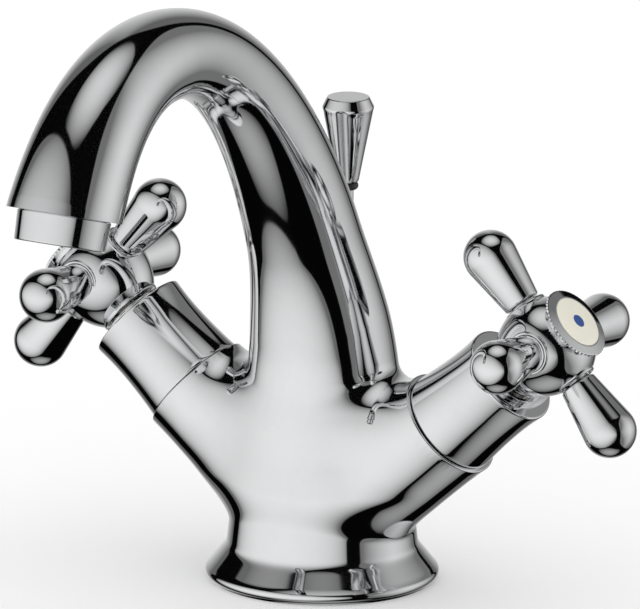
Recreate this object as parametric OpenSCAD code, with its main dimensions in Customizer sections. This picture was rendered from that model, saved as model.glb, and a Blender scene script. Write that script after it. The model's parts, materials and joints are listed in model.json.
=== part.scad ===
// Two-handle basin mixer with angled arms, a swan-neck spout and a pop-up lift rod.
// Millimetres, Z up, origin at the middle of the base on the deck, spout towards -Y.

/* [Base] */
// Diameter of the base flange at its rounded lip
base_d = 56.3; // [54:0.5:62]
// Radius of the rounded lip
lip_r = 1.3; // [0.8:0.1:1.8]
// Height of the lip's widest line
lip_z = 1.9; // [1.6:0.1:2.4]
// Diameter at the top of the sloped band
band_d = 48.5; // [48:0.1:51]
// Height of the top of the sloped band
band_z = 7.1; // [6:0.1:8]
// Diameter of the waist above the band
waist_d = 46.6; // [44:0.2:47.4]
// Height of the waist
waist_z = 10.7; // [9.6:0.1:11.6]
// Diameter of the round recess under the base
recess_d = 40; // [36:0.5:41]
// Depth of the recess
recess_h = 8; // [5:0.5:8.5]
// Width of the rubber base gasket
gasket_w = 3.6; // [2.4:0.2:4.4]
// Thickness of the base gasket
gasket_t = 1.8; // [1:0.1:2.4]

/* [Supply and fixing holes] */
// Distance between the two supply inlets
inlet_pitch = 21; // [20:0.5:24]
// Bore of each supply inlet, tapped M10 x 1
inlet_d = 9; // [8:0.1:10]
// Depth of an inlet's tapped part above the recess
inlet_thread_l = 9; // [7:0.5:10]
// Bore of the fixing stud hole, tapped M8
stud_d = 6.8; // [5:0.1:6.8]
// Depth of the fixing stud hole above the recess
stud_h = 11; // [8:0.5:12]

/* [Arms] */
// Angle of each arm above the deck
arm_angle = 40.9; // [38:0.1:44]
// Height at which the two arm axes cross
arm_z = 12.5; // [11.6:0.1:13.6]
// Distance of the arm's end face from that crossing
arm_l = 47; // [45.5:0.5:51]
// Diameter of the arm at its end face
arm_d = 27.9; // [27.2:0.1:28.6]
// Diameter of the arm at its slimmest, short of the end face
arm_slim_d = 27.4; // [26.6:0.1:28]
// Diameter that the arm's taper reaches at the crossing
arm_root_d = 28.6; // [27.4:0.1:30]
// Size of the blend between arm and column, in the crotch
crotch_blend = 16; // [8:0.5:18]
// Size of the blend between arm and base, underneath
base_blend = 13; // [9:0.5:16]

/* [Spout] */
// Height of the column's foot, where the spout starts
foot_z = 62; // [60:0.5:66]
// Forward distance of the column's foot
foot_y = 1.5; // [0.5:0.1:2.4]
// Diameter of the column's foot
foot_d = 34.4; // [32.6:0.2:36]
// Diameter of the column where it turns forward
column_d = 27.8; // [26:0.2:29]
// Diameter of the narrowest part, on the forward run
neck_d = 21.5; // [21:0.1:23]
// Diameter of the spout's mouth
mouth_d = 27.8; // [27:0.1:29]
// Forward lean of the column at its foot, in degrees
column_lean = 13; // [10:0.1:15]
// Forward distance of the spout's highest point
crown_y = 79.9; // [72:0.1:86]
// Height of the spout's centre line at its highest point
crown_z = 146.3; // [136:0.2:160]
// Forward distance of the mouth's centre
mouth_y = 121.9; // [116:0.1:130]
// Height of the mouth's centre
mouth_z = 117.3; // [112:0.1:124]
// Angle between the spout's last stretch and the vertical
mouth_lean = 28.8; // [25:0.2:33]
// Angle between the mouth's cut face and the deck
mouth_tilt = 17.3; // [15:0.1:20]
// Diameter of the waterway inside the spout
waterway_d = 15; // [12:0.5:16]

/* [Aerator] */
// Diameter of the aerator's thread
aerator_thread_d = 20; // [18.8:0.2:20.4]
// Length of the aerator's thread
aerator_thread_l = 6.4; // [5:0.2:7]
// Diameter of the aerator's collar at the mouth
aerator_collar_d = 22.5; // [21.6:0.1:23]
// Visible length of the collar
aerator_collar_l = 7.4; // [6:0.1:8]
// Thickness of the aerator washer
aerator_washer_t = 1.6; // [1:0.1:2]

/* [Valves] */
// Distance of the valve seat from the crossing of the arm axes
seat_s = 21; // [20:0.2:22]
// Diameter of the valve's threaded shank, G 1/2
shank_d = 20.6; // [20:0.1:20.8]
// Width across the flats of the valve's hexagon
hex_af = 19; // [17.5:0.5:19]
// Diameter of the ceramic discs
disc_d = 13.6; // [12:0.1:13.8]
// Thickness of each ceramic disc
disc_t = 3; // [2.4:0.1:3.2]
// Diameter of the spindle
spindle_d = 8.4; // [7.4:0.1:9]
// Number of teeth on the spindle's spline
spline_teeth = 20; // [16:4:24]

/* [Shrouds] */
// Length of the shroud along the arm's axis
shroud_l = 21.4; // [20.4:0.2:23]
// Diameter of the shroud at its foot, on the arm
shroud_foot_d = 26; // [25.4:0.1:26.6]
// Diameter of the shroud at its outer end
shroud_end_d = 25; // [24.4:0.1:25.8]
// Diameter of the shroud at its waist
shroud_waist_d = 24.3; // [24.1:0.1:24.8]
// Wall of the shroud at its waist
shroud_wall = 1; // [0.8:0.05:1]
// Thickness of the dark washer between arm and shroud
washer_t = 0.6; // [0.4:0.1:1]

/* [Handles] */
// Diameter over the tips of opposite levers
handle_d = 63.9; // [60:0.1:66]
// Diameter of the rounded hub
hub_d = 23.8; // [23.2:0.1:24.4]
// Height of the hub from its rim to the levers' plane
hub_low_h = 11.8; // [11.4:0.1:12.4]
// Height of the hub from the levers' plane to the index ring
hub_high_h = 8.9; // [8.6:0.1:9.4]
// Gap between the shroud's nut and the hub
hub_gap = 1; // [0.8:0.1:2]
// Diameter of a lever's bulb
bulb_d = 13.1; // [12.2:0.1:13.6]
// Diameter of a lever at its inner end
lever_root_d = 9.2; // [8.4:0.1:9.8]
// Diameter of the short neck between lever and hub
lever_neck_d = 6.4; // [5.6:0.1:7]
// Diameter of the round boss that carries a lever
boss_d = 10.8; // [10:0.1:11.2]
// Number of levers on each handle
levers = 4; // [3:1:4]
// Diameter of the knurled index ring
index_ring_d = 18.5; // [18:0.1:19.2]
// Number of grooves on the index ring
index_grooves = 56; // [48:4:64]
// Diameter of the ceramic index disc
index_disc_d = 13.3; // [12.6:0.1:14]

/* [Lift rod] */
// Distance of the lift rod behind the middle of the base
rod_y = 10.9; // [10.6:0.1:12.2]
// Diameter of the lift rod
rod_d = 2.9; // [2.4:0.1:3.2]
// Height of the knob's lower end above the deck
knob_z = 96; // [92:0.5:102]
// Height of the knob
knob_h = 21; // [18:0.1:24]
// Largest diameter of the knob
knob_d = 12.6; // [11:0.1:13]
// Travel of the rod below the place shown
rod_down = 11; // [6:0.5:12]

/* [Hidden] */

$fn = 64;

cold = 1;
hot = -1;

// Clearance of parts that are fastened together, and of parts that turn or slide
fit = 0.05;
run_fit = 0.06;
// Extra length of a cutting tool past the face that it opens
past = 1;

// Profile helpers: a circular arc and a quadratic curve as lists of points
function arc(c, r, a0, a1, n = 8) =
    [for (i = [0:n]) let (a = a0 + (a1 - a0) * i / n) c + r * [cos(a), sin(a)]];
function bend(a, b, c, n = 6) =
    [for (i = [0:n]) let (t = i / n) (1 - t) * (1 - t) * a + 2 * t * (1 - t) * b + t * t * c];

// Waist and flange
waist_r = waist_d / 2;
band_foot = [base_d / 2 - lip_r, lip_z] + lip_r * [cos(52), sin(52)];
band_top = [band_d / 2, band_z];
flange_profile = concat(
    [[0, 0], [base_d / 2 - 0.6 * lip_r, 0]],
    arc([base_d / 2 - lip_r, lip_z], lip_r, -60, 44),
    bend(band_foot, (band_foot + band_top) / 2 - [0.6, 0.2], band_top, 4),
    bend(band_top, [waist_r, band_z + 1], [waist_r, waist_z]),
    [[waist_r - 3, waist_z], [waist_r - 3, waist_z + 1], [0, waist_z + 1]]
);

// Arm direction in the XZ plane
arm_c = cos(arm_angle);
arm_s = sin(arm_angle);

// Centre line of the spout: two cubic curves that meet level at the crown
foot = [0, -foot_y, foot_z];
crown = [0, -crown_y, crown_z];
mouth = [0, -mouth_y, mouth_z];
column_pull = 0.45 * (crown_z - foot_z);
crown_pull = 0.515 * crown_y;
nose_pull = 0.624 * (mouth_y - crown_y);
mouth_pull = 0.236 * (mouth_y - crown_y);
rise = [
    foot,
    foot + column_pull * [0, -sin(column_lean), cos(column_lean)],
    crown + [0, crown_pull, 0],
    crown
];
fall = [
    crown,
    crown - [0, nose_pull, 0],
    mouth + mouth_pull * [0, sin(mouth_lean), cos(mouth_lean)],
    mouth
];
function cubic(p, t) =
    pow(1 - t, 3) * p[0] + 3 * pow(1 - t, 2) * t * p[1] + 3 * (1 - t) * t * t * p[2] + pow(t, 3) * p[3];
function cubic_dir(p, t) =
    let (d = pow(1 - t, 2) * (p[1] - p[0]) + 2 * (1 - t) * t * (p[2] - p[1]) + t * t * (p[3] - p[2]))
    d / norm(d);

// The rise takes up this share of the spout's length
rise_share = 0.696;
function spout_point(f) =
    f < rise_share ? cubic(rise, f / rise_share) : cubic(fall, (f - rise_share) / (1 - rise_share));
function spout_dir(f) =
    f < rise_share ? cubic_dir(rise, f / rise_share) : cubic_dir(fall, (f - rise_share) / (1 - rise_share));

// Radius along the spout: foot, turn, neck and mouth, joined by smooth curves
turn_f = 0.16;
neck_f = 0.59;
function smooth(u, a, b, slope_a, slope_b) =
    let (u2 = u * u, u3 = u2 * u)
    (2 * u3 - 3 * u2 + 1) * a + (u3 - 2 * u2 + u) * slope_a + (3 * u2 - 2 * u3) * b + (u3 - u2) * slope_b;
turn_slope = 1.15 * (neck_d - column_d) / 2;
function spout_r(f) =
    f < turn_f ? smooth(f / turn_f, foot_d / 2, column_d / 2, 1.05 * (column_d - foot_d) / 2,
                        turn_slope * turn_f / (neck_f - turn_f)) :
    f < neck_f ? smooth((f - turn_f) / (neck_f - turn_f), column_d / 2, neck_d / 2, turn_slope, 0) :
    smooth((f - neck_f) / (1 - neck_f), neck_d / 2, mouth_d / 2, 0, 0.5 * (mouth_d - neck_d) / 2);

// One ring of a tube that lies in the plane x = 0, with points at the given angles
function ring(c, dir, r, angles) =
    let (side = [0, -dir.z, dir.y])
    [for (a = angles) c + r * (cos(a) * [1, 0, 0] + sin(a) * side)];
even_angles = [for (i = [0:15]) 22.5 * i];

// Middle of a ring of points
function middle(r) = [for (p = r) 1] * r / len(r);

// Closed skin through a stack of rings with equally many points, each end closed by a fan
module skin(rings) {
    n = len(rings[0]);
    top = (len(rings) - 1) * n;
    points = concat([for (r = rings) each r], [middle(rings[0]), middle(rings[len(rings) - 1])]);
    hub_point = len(points) - 2;
    sides = [for (j = [0:len(rings) - 2], i = [0:n - 1])
        let (a = j * n + i, b = j * n + (i + 1) % n)
        each [[a, b, b + n], [a, b + n, a + n]]];
    ends = [for (i = [0:n - 1])
        let (k = (i + 1) % n)
        each [[k, i, hub_point], [top + i, top + k, hub_point + 1]]];
    polyhedron(points, concat(sides, ends));
}

// The body below the spout is a blend of a tapering trunk and two arms.
// Each field is a distance to one of them, negative inside.
function ramp(x, a, b) = max(0, min(1, (x - a) / (b - a)));
function blend_min(a, b, size) =
    size < 0.01 ? min(a, b) : let (h = max(size - abs(a - b), 0) / size) min(a, b) - h * h * size / 4;
// The arm narrows from its root to this station and flares a little to its end face
arm_slim_s = 0.81 * arm_l;
function arm_r(s) =
    let (u = s / arm_slim_s - 1, v = (s - arm_slim_s) / (arm_l - arm_slim_s))
    arm_slim_d / 2 + (u < 0 ? (arm_root_d - arm_slim_d) / 2 * u * u : (arm_d - arm_slim_d) / 2 * v * v);
function arm_field(p, side) =
    let (q = [side * p.x, p.y, p.z - arm_z], s = q.x * arm_c + q.z * arm_s)
    s < 0 ? norm(q) - arm_root_d / 2 :
    max(norm([q.x - s * arm_c, q.y, q.z - s * arm_s]) - arm_r(min(s, arm_l + past)), s - arm_l - past);
// The trunk's axis bends forward towards the column's foot
function trunk_y(z) = -foot_y * pow(ramp(z, foot_z - 22, foot_z), 3);
// The skin's rim at the waist lies this far inside the flange's rim
waist_step = 0.4;
trunk_r = waist_r - waist_step;
function trunk_field(p) =
    max(norm([p.x, p.y - trunk_y(p.z)]) - trunk_r - (foot_d / 2 - trunk_r) * (p.z - waist_z) / (foot_z - waist_z),
        p.z - foot_z - 8);
// Height of the crotch, where the top of an arm meets the column
crotch_z = arm_z + foot_d / 2 * arm_s / arm_c + arm_d / 2 / arm_c;
function blend_size(z) =
    ramp(z, waist_z, waist_z + 8) * ramp(foot_z - z, 0, foot_z - crotch_z)
    * (base_blend + (crotch_blend - base_blend) * ramp(z, crotch_z - 14, crotch_z - 2));
function body_field(p) =
    blend_min(blend_min(arm_field(p, cold), arm_field(p, hot), base_blend), trunk_field(p), blend_size(p.z));

// The blend is sampled by rays from a point low inside the body
core = [0, 0, waist_z + 5.3];
function reach(d, lo, hi, steps) =
    steps == 0 ? (lo + hi) / 2 :
    let (mid = (lo + hi) / 2)
    body_field(core + mid * d) < 0 ? reach(d, mid, hi, steps - 1) : reach(d, lo, mid, steps - 1);
low_rim = atan2(arm_z + arm_l * arm_s - arm_d / 2 * arm_c - core.z, arm_l * arm_c + arm_d / 2 * arm_s);
high_rim = atan2(arm_z + arm_l * arm_s + arm_d / 2 * arm_c - core.z, arm_l * arm_c - arm_d / 2 * arm_s);
ray_rows = [
    for (i = [0:8]) -24 + (low_rim + 24) * i / 9,
    for (i = [0:12]) low_rim + (high_rim - low_rim) * i / 13,
    for (i = [0:7]) high_rim + i,
    for (i = [0:1]) high_rim + 8 + (56 - high_rim) * i
];
ray_columns = 56;
// Rays crowd towards the two arms
ray_angles = [for (i = [0:ray_columns - 1]) let (u = 360 * i / ray_columns) u - 18 * sin(2 * u)];
function ray_ring(e) =
    [for (a = ray_angles)
        let (d = [cos(e) * cos(a), -cos(e) * sin(a), sin(e)])
        core + d * reach(d, 0, 90, 15)];

// Places
module on_arm(side) {
    translate([0, 0, arm_z]) rotate([0, side * (90 - arm_angle), 0]) children();
}
module at(s) {
    translate([0, 0, s]) children();
}
module at_mouth() {
    translate(mouth) rotate([-mouth_tilt, 0, 0]) children();
}
module on_rod() {
    translate([0, rod_y, 0]) children();
}

// Ring of rectangular section between two heights
module tube(outer_r, inner_r, h) {
    rotate_extrude() translate([inner_r, 0]) square([outer_r - inner_r, h]);
}
module torus(ring_r, section_r) {
    rotate_extrude() translate([ring_r, 0]) circle(section_r, $fn = 24);
}

// Valve, shroud and handle: stations along the arm's axis
shank_r = shank_d / 2;
chamber_r = shank_r - 1.3;
shank_s = arm_l - 11.6;
flange_t = 1.6;
hex_t = 3;
shroud_s = arm_l + washer_t;
shroud_top = shroud_s + shroud_l;
shroud_end_t = 1.6;
nut_t = 1.2;
neck_r = 7.4;
nut_r = neck_r + 1.5;
neck_top = shroud_top + nut_t + 0.4;
hub_s = shroud_top + nut_t + hub_gap;
hub_r = hub_d / 2;
hub_rim_r = 8;
hub_neck_r = 7.6;
hub_mid = hub_s + hub_low_h;
hub_top = hub_mid + hub_high_h;
// Half-heights of the two half ellipses that make the hub's outline
hub_low_e = 1.24 * hub_low_h;
hub_high_e = 1.12 * hub_high_h;
hub_low_a = acos((hub_low_h - 0.9) / hub_low_e);
hub_high_a = asin(hub_neck_r / hub_r);
spindle_r = spindle_d / 2;
socket_s = hub_s + 1.2;
spline_r = spindle_r - 0.3;
spline_l = 7;
web_s = socket_s + spline_l + 0.2;
web_t = 2.5;
screw_r = 1.95;
screw_head_r = 4;
screw_head_t = 2.6;
stem_bore_r = 6.4;
stem_bore_s = web_s + web_t + screw_head_t + 0.4;

// Inner pieces of the valve
seal_t = 2;
cavity_r = disc_d / 2 + 0.2;
cavity_top = seat_s + 13;
nose_r = chamber_r - 0.8;
moving_s = seat_s + seal_t + disc_t;
driver_s = moving_s + disc_t;
lug_w = 2.8;
lug_t = 1.3;
port_r = 1.9;
port_offset = disc_d / 2 - port_r - 0.4;

// Levers: boss face, seat of the neck in the boss's dish, inner end, and bulb
boss_top = hub_r - 0.8;
lever_seat = boss_top - 0.6;
lever_s = boss_top + 0.6;
bulb_r = bulb_d / 2;
bulb_at = handle_d / 2 - bulb_r;
// Angle of the lever's taper, where it meets the bulb without a step
taper_run = bulb_at - lever_s;
taper_a = atan2(taper_run, lever_root_d / 2) - acos(bulb_r / norm([taper_run, lever_root_d / 2]));

// Underside
gasket_mid_r = (recess_d / 2 + base_d / 2 - 0.6 * lip_r) / 2;

// One skin runs from the waist over the arms' blends and along the spout to past its mouth
module body_shape() {
    rotate_extrude() polygon(flange_profile);
    difference() {
        skin(concat(
            [for (e = ray_rows) ray_ring(e)],
            [for (i = [0:30]) ring(spout_point(i / 30), spout_dir(i / 30), spout_r(i / 30), ray_angles)],
            [ring(mouth + 8 * spout_dir(1), spout_dir(1), mouth_d / 2, ray_angles)]
        ));
        translate([-100, -100, waist_z - 200]) cube(200);
        for (side = [cold, hot]) on_arm(side) at(arm_l) cylinder(r = arm_d / 2 + past, h = 3 * past);
        at_mouth() translate([-30, -30, -60]) cube(60);
    }
}

module body_bores() {
    // Recess and gasket groove under the base
    translate([0, 0, -past]) cylinder(r = recess_d / 2, h = recess_h + past);
    translate([0, 0, -past]) tube(gasket_mid_r + gasket_w / 2, gasket_mid_r - gasket_w / 2, gasket_t + past);
    // Fixing stud
    translate([0, 0, recess_h - past]) cylinder(r = stud_d / 2, h = stud_h + past);
    for (side = [cold, hot]) {
        // Supply inlet, seat hole, valve chamber and thread
        translate([side * inlet_pitch / 2, 0, recess_h - past]) {
            cylinder(r = inlet_d / 2, h = inlet_thread_l + past);
            cylinder(r = inlet_d / 2 - 0.9, h = inlet_top - recess_h + past);
        }
        on_arm(side) {
            at(seat_hole_s) cylinder(r = inlet_d / 2 - 0.5, h = seat_s - seat_hole_s + past);
            at(seat_s) cylinder(r = chamber_r, h = arm_l - seat_s + past);
            at(shank_s) cylinder(r = shank_r + fit, h = arm_l - shank_s + past);
        }
    }
    // Mixing chamber with a cross port between the two valves
    translate([0, -mix_y, waist_z + 17]) cylinder(r = waterway_d / 2 + 0.6, h = foot_z - waist_z - 15.5);
    translate([-14, 0, waist_z + 24.5]) rotate([0, 90, 0]) cylinder(r = 4, h = 28);
    // Waterway of the spout and thread for the aerator
    skin([for (i = [0:24]) let (f = 0.965 * i / 24) ring(spout_point(f), spout_dir(f), waterway_d / 2, even_angles)]);
    at_mouth() at(-past) cylinder(r = aerator_thread_d / 2 + fit, h = aerator_thread_l + aerator_washer_t + past);
    // Lift rod hole, wider above for its guide
    on_rod() {
        at(recess_h - past) cylinder(r = rod_d / 2 + 0.4, h = foot_z);
        at(guide_z) cylinder(r = guide_r + fit, h = 40);
    }
}

// Each inlet ends a little above the arm's axis, and the seat hole starts inside the inlet
inlet_top = arm_z + inlet_pitch / 2 * arm_s / arm_c + 1.5;
seat_hole_s = inlet_pitch / 2 / arm_c - 2;

// The mixing chamber lies forward of the middle to clear the lift rod
mix_y = foot_y + 0.3;

// Lift rod: the guide sits deep in the body's back and the knob rides above
guide_l = 16;
guide_z = foot_z - 17;
guide_r = rod_d / 2 + 1.15;
rod_end_z = rod_down + 6;
knob_r = knob_d / 2;

module body_casting() {
    color("silver") difference() {
        body_shape();
        body_bores();
    }
}

module base_gasket() {
    color("dimgray") tube(gasket_mid_r + gasket_w / 2 - fit, gasket_mid_r - gasket_w / 2 + fit, gasket_t);
}

// Aerator
screen_t = 1.6;
lip_t = 1;
aerator_in_r = aerator_thread_d / 2 - 0.8;

module aerator_housing() {
    collar_r = aerator_collar_d / 2;
    low_r = collar_r - 0.3;
    color("silver") at_mouth() rotate_extrude() polygon([
        [aerator_in_r - 0.6, -aerator_collar_l],
        [low_r - 0.4, -aerator_collar_l],
        [low_r, -aerator_collar_l + 0.4],
        [collar_r, -0.3],
        [collar_r - 0.3, 0],
        [aerator_thread_d / 2, 0],
        [aerator_thread_d / 2, aerator_thread_l],
        [aerator_in_r, aerator_thread_l],
        [aerator_in_r, -aerator_collar_l + lip_t],
        [aerator_in_r - 0.6, -aerator_collar_l + lip_t]
    ]);
}

module aerator_screen() {
    pitch = 2.5;
    color("gainsboro") at_mouth() at(-aerator_collar_l + lip_t) linear_extrude(screen_t) difference() {
        circle(aerator_in_r - fit);
        for (i = [-3:3], j = [-3:3])
            let (x = pitch * (i + j / 2), y = pitch * j * sin(60))
            if (norm([x, y]) < aerator_in_r - 1.6) translate([x, y]) rotate(30) circle(1.15, $fn = 6);
    }
}

module aerator_insert() {
    low = -aerator_collar_l + lip_t + screen_t;
    color("white") at_mouth() difference() {
        at(low) cylinder(r = aerator_in_r - fit, h = aerator_thread_l - low);
        at(low - past) cylinder(r = aerator_in_r - 1.4, h = aerator_thread_l - low - 0.6);
        for (a = [0:45:315]) rotate(a) translate([4.6, 0, 0]) cylinder(r = 1.1, h = 20, $fn = 24);
        cylinder(r = 1.1, h = 20, $fn = 24);
    }
}

module aerator_washer() {
    color("dimgray") at_mouth() at(aerator_thread_l)
        tube(aerator_thread_d / 2 - fit, waterway_d / 2 + 0.2, aerator_washer_t);
}

module lift_rod() {
    color("silver") on_rod() at(rod_end_z) cylinder(r = rod_d / 2, h = knob_z + 0.4 * knob_h - rod_end_z);
}

module lift_rod_guide() {
    color("dimgray") on_rod() at(guide_z) tube(guide_r, rod_d / 2 + run_fit, guide_l);
}

module lift_knob_ring() {
    color("dimgray") on_rod() at(knob_z - 2) rotate_extrude() polygon(concat(
        [[rod_d / 2 + fit, 0]],
        arc([rod_d / 2 + 0.15, 1], 1, -60, 60, 6),
        [[rod_d / 2 + fit, 2]]
    ));
}

module lift_knob() {
    color("silver") on_rod() at(knob_z) difference() {
        rotate_extrude() polygon(concat(
            [[0, 0], [0.38 * knob_r, 0], [0.43 * knob_r, 0.4]],
            bend([0.43 * knob_r, 0.4], [0.66 * knob_r, 0.45 * knob_h], [0.97 * knob_r, 0.8 * knob_h]),
            arc([knob_r - 1.4, 0.87 * knob_h], 1.4, -10, 75),
            [[0.82 * knob_r - 0.3, knob_h], [0, knob_h]]
        ));
        at(-past) cylinder(r = rod_d / 2 + fit, h = 0.4 * knob_h + past + 0.1);
    }
}

module shroud(side) {
    foot_r = shroud_foot_d / 2;
    end_r = shroud_end_d / 2;
    slim_r = shroud_waist_d / 2;
    outer = concat(
        bend([foot_r, 0], [slim_r, 0.36 * shroud_l], [slim_r, 0.66 * shroud_l]),
        bend([slim_r, 0.66 * shroud_l], [slim_r, 0.8 * shroud_l], [end_r, shroud_l - 0.4], 4),
        [[end_r - 0.3, shroud_l]]
    );
    inner = bend([slim_r - shroud_wall, 0.66 * shroud_l], [slim_r - shroud_wall, 0.36 * shroud_l],
                 [foot_r - shroud_wall, 0]);
    color("silver") on_arm(side) at(shroud_s) rotate_extrude() polygon(concat(
        outer,
        [[neck_r + fit, shroud_l], [neck_r + fit, shroud_l - shroud_end_t],
         [slim_r - shroud_wall, shroud_l - shroud_end_t]],
        inner
    ));
}

module shroud_washer(side) {
    color("dimgray") on_arm(side) at(arm_l) tube(shroud_foot_d / 2 + 0.2, shank_r + 1.1, washer_t);
}

module shroud_nut(side) {
    color("silver") on_arm(side) at(shroud_top) rotate_extrude() polygon([
        [neck_r + fit, 0], [nut_r, 0], [nut_r, nut_t - 0.3], [nut_r - 0.3, nut_t],
        [neck_r + fit, nut_t]
    ]);
}

module valve_body(side) {
    shoulder_s = shroud_top - shroud_end_t;
    hex_s = arm_l + flange_t;
    color("darkgoldenrod") on_arm(side) difference() {
        union() {
            at(seat_s + 0.6) cylinder(r = nose_r, h = shank_s - seat_s);
            at(shank_s + 0.6) cylinder(r = shank_r, h = arm_l - shank_s - 0.6);
            at(arm_l) cylinder(r = shank_r + 0.9, h = flange_t);
            at(hex_s) cylinder(r = hex_af / 2 / cos(30), h = hex_t, $fn = 6);
            at(hex_s + hex_t) cylinder(r = neck_r + 1.2, h = shoulder_s - hex_s - hex_t);
            at(shoulder_s) cylinder(r = neck_r, h = neck_top - shoulder_s);
        }
        at(arm_l - 2.8) tube(shank_r + past, shank_r - 1.4, 1.6);
        at(seat_s) cylinder(r = cavity_r, h = cavity_top - seat_s);
        at(driver_s + 1.6) translate([-3, -nose_r - past, 0]) cube([6, 2 * nose_r + 2 * past, 2]);
        at(seat_s) cylinder(r = spindle_r + run_fit, h = neck_top);
        at(neck_top - 1.1) cylinder(r = 5.7, h = 1.1 + past);
    }
}

module valve_o_ring(side) {
    color("dimgray") on_arm(side) at(arm_l - 2) torus(shank_r - 0.68, 0.67);
}

module seat_seal(side) {
    color("dimgray") on_arm(side) at(seat_s) tube(disc_d / 2, inlet_d / 2 + 0.1, seal_t);
}

// Both discs have two ports; turning the moving one by a quarter lines them up
module fixed_disc(side) {
    color("ivory") on_arm(side) at(seat_s + seal_t) difference() {
        cylinder(r = disc_d / 2, h = disc_t);
        for (y = [-1, 1]) translate([0, y * port_offset, -past]) cylinder(r = port_r, h = disc_t + 2 * past);
    }
}

module moving_disc(side) {
    color("white") on_arm(side) at(moving_s) difference() {
        cylinder(r = disc_d / 2 - 0.1, h = disc_t);
        for (x = [-1, 1]) translate([x * port_offset, 0, -past]) cylinder(r = port_r, h = disc_t + 2 * past);
        translate([-lug_w / 2 - fit, -disc_d, disc_t - lug_t - fit]) cube([lug_w + 2 * fit, 2 * disc_d, lug_t + past]);
    }
}

module spline(r, h) {
    teeth = spline_teeth;
    linear_extrude(h) polygon([for (i = [0:2 * teeth - 1])
        (r - (i % 2) * 0.5) * [cos(180 * i / teeth), sin(180 * i / teeth)]]);
}

module spindle(side) {
    clip_s = neck_top - 0.95;
    color("goldenrod") on_arm(side) difference() {
        union() {
            at(driver_s - lug_t) translate([-lug_w / 2, -disc_d * 0.4, 0]) cube([lug_w, disc_d * 0.8, lug_t]);
            at(driver_s) cylinder(r = 3, h = cavity_top - driver_s);
            at(cavity_top - 2) cylinder(r = cavity_r - 0.4, h = 1.9);
            at(cavity_top - 0.1) cylinder(r = spindle_r, h = socket_s - cavity_top - 0.1);
            at(socket_s - 0.2) spline(spline_r, spline_l + 0.2);
        }
        at(arm_l - 4) tube(spindle_r + past, spindle_r - 1.6, 1.8);
        at(clip_s) tube(spindle_r + past, spindle_r - 0.9, 0.8);
        at(hub_s - 1) cylinder(r = screw_r + fit, h = 20);
    }
}

module spindle_o_ring(side) {
    color("dimgray") on_arm(side) at(arm_l - 3.1) torus(spindle_r - 0.78, 0.76);
}

module spindle_clip(side) {
    color("silver") on_arm(side) at(neck_top - 0.9) rotate(30) rotate_extrude(angle = 300)
        translate([spindle_r - 0.85, 0]) square([1.9, 0.7]);
}

module lever_boss() {
    boss_r = boss_d / 2;
    rotate([0, 90, 0]) rotate_extrude() polygon(concat(
        [[0, hub_r - 5.5], [boss_r, hub_r - 5.5]],
        arc([boss_r - 0.5, boss_top - 0.5], 0.5, 0, 150, 6),
        [[boss_r - 1.3, lever_seat], [0, lever_seat]]
    ));
}

module handle_hub(side) {
    low = [for (i = [0:9]) let (a = hub_low_a + (90 - hub_low_a) * i / 9)
        [hub_r * sin(a), hub_mid - hub_low_e * cos(a)]];
    high = [for (i = [1:6]) let (a = 90 + (90 - hub_high_a) * i / 6)
        [hub_r * sin(a), hub_mid - hub_high_e * cos(a)]];
    color("silver") on_arm(side) difference() {
        union() {
            rotate_extrude() polygon(concat(
                [[0, hub_s], [hub_rim_r - 0.4, hub_s], [hub_rim_r, hub_s + 0.3], [hub_rim_r - 0.1, hub_s + 0.8]],
                low, high,
                [[hub_neck_r, hub_top], [0, hub_top]]
            ));
            at(hub_mid) for (i = [0:levers - 1]) rotate(360 * i / levers) lever_boss();
        }
        // Room for the spindle's shoulder, splined socket, screw and index stem
        at(hub_s - past) cylinder(r = spindle_r + 0.4, h = 1.2 + past);
        at(socket_s - 0.1) spline(spline_r + fit, spline_l + 0.3);
        at(web_s - past) cylinder(r = screw_r + 0.15, h = web_t + 2 * past);
        at(web_s + web_t) cylinder(r = screw_head_r + 0.4, h = 20);
        at(stem_bore_s) cylinder(r = stem_bore_r, h = 20);
        // Dishes and tapped holes for the levers
        at(hub_mid) for (i = [0:levers - 1]) rotate(360 * i / levers) rotate([0, 90, 0]) {
            at(lever_seat) cylinder(r = boss_d / 2 - 1.1, h = 5);
            at(hub_r - 4.9) cylinder(r = 2, h = 10);
        }
    }
}

// A lever: threaded stud, short neck, and a taper that runs into the bulb
module lever() {
    root_r = lever_root_d / 2;
    slim_r = lever_neck_d / 2;
    rotate([0, 90, 0]) rotate_extrude() polygon(concat(
        [[0, hub_r - 4.7], [1.95, hub_r - 4.7], [1.95, lever_seat], [slim_r + 0.2, lever_seat],
         [slim_r, lever_seat + 0.3], [slim_r, lever_s - 0.1], [slim_r + 0.2, lever_s]],
        arc([root_r - 0.5, lever_s + 0.5], 0.5, -90, -taper_a, 5),
        arc([0, bulb_at], bulb_r, -taper_a, 90, 16)
    ));
}

module handle_levers(side) {
    color("silver") on_arm(side) at(hub_mid) for (i = [0:levers - 1]) rotate(360 * i / levers) lever();
}

module handle_screw(side) {
    color("gray") on_arm(side) difference() {
        union() {
            at(hub_s - 0.6) cylinder(r = screw_r, h = web_s + web_t - hub_s + 0.6);
            at(web_s + web_t) cylinder(r = screw_head_r, h = screw_head_t);
        }
        at(web_s + web_t + 1) cylinder(r = 1.7, h = 5, $fn = 6);
    }
}

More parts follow.
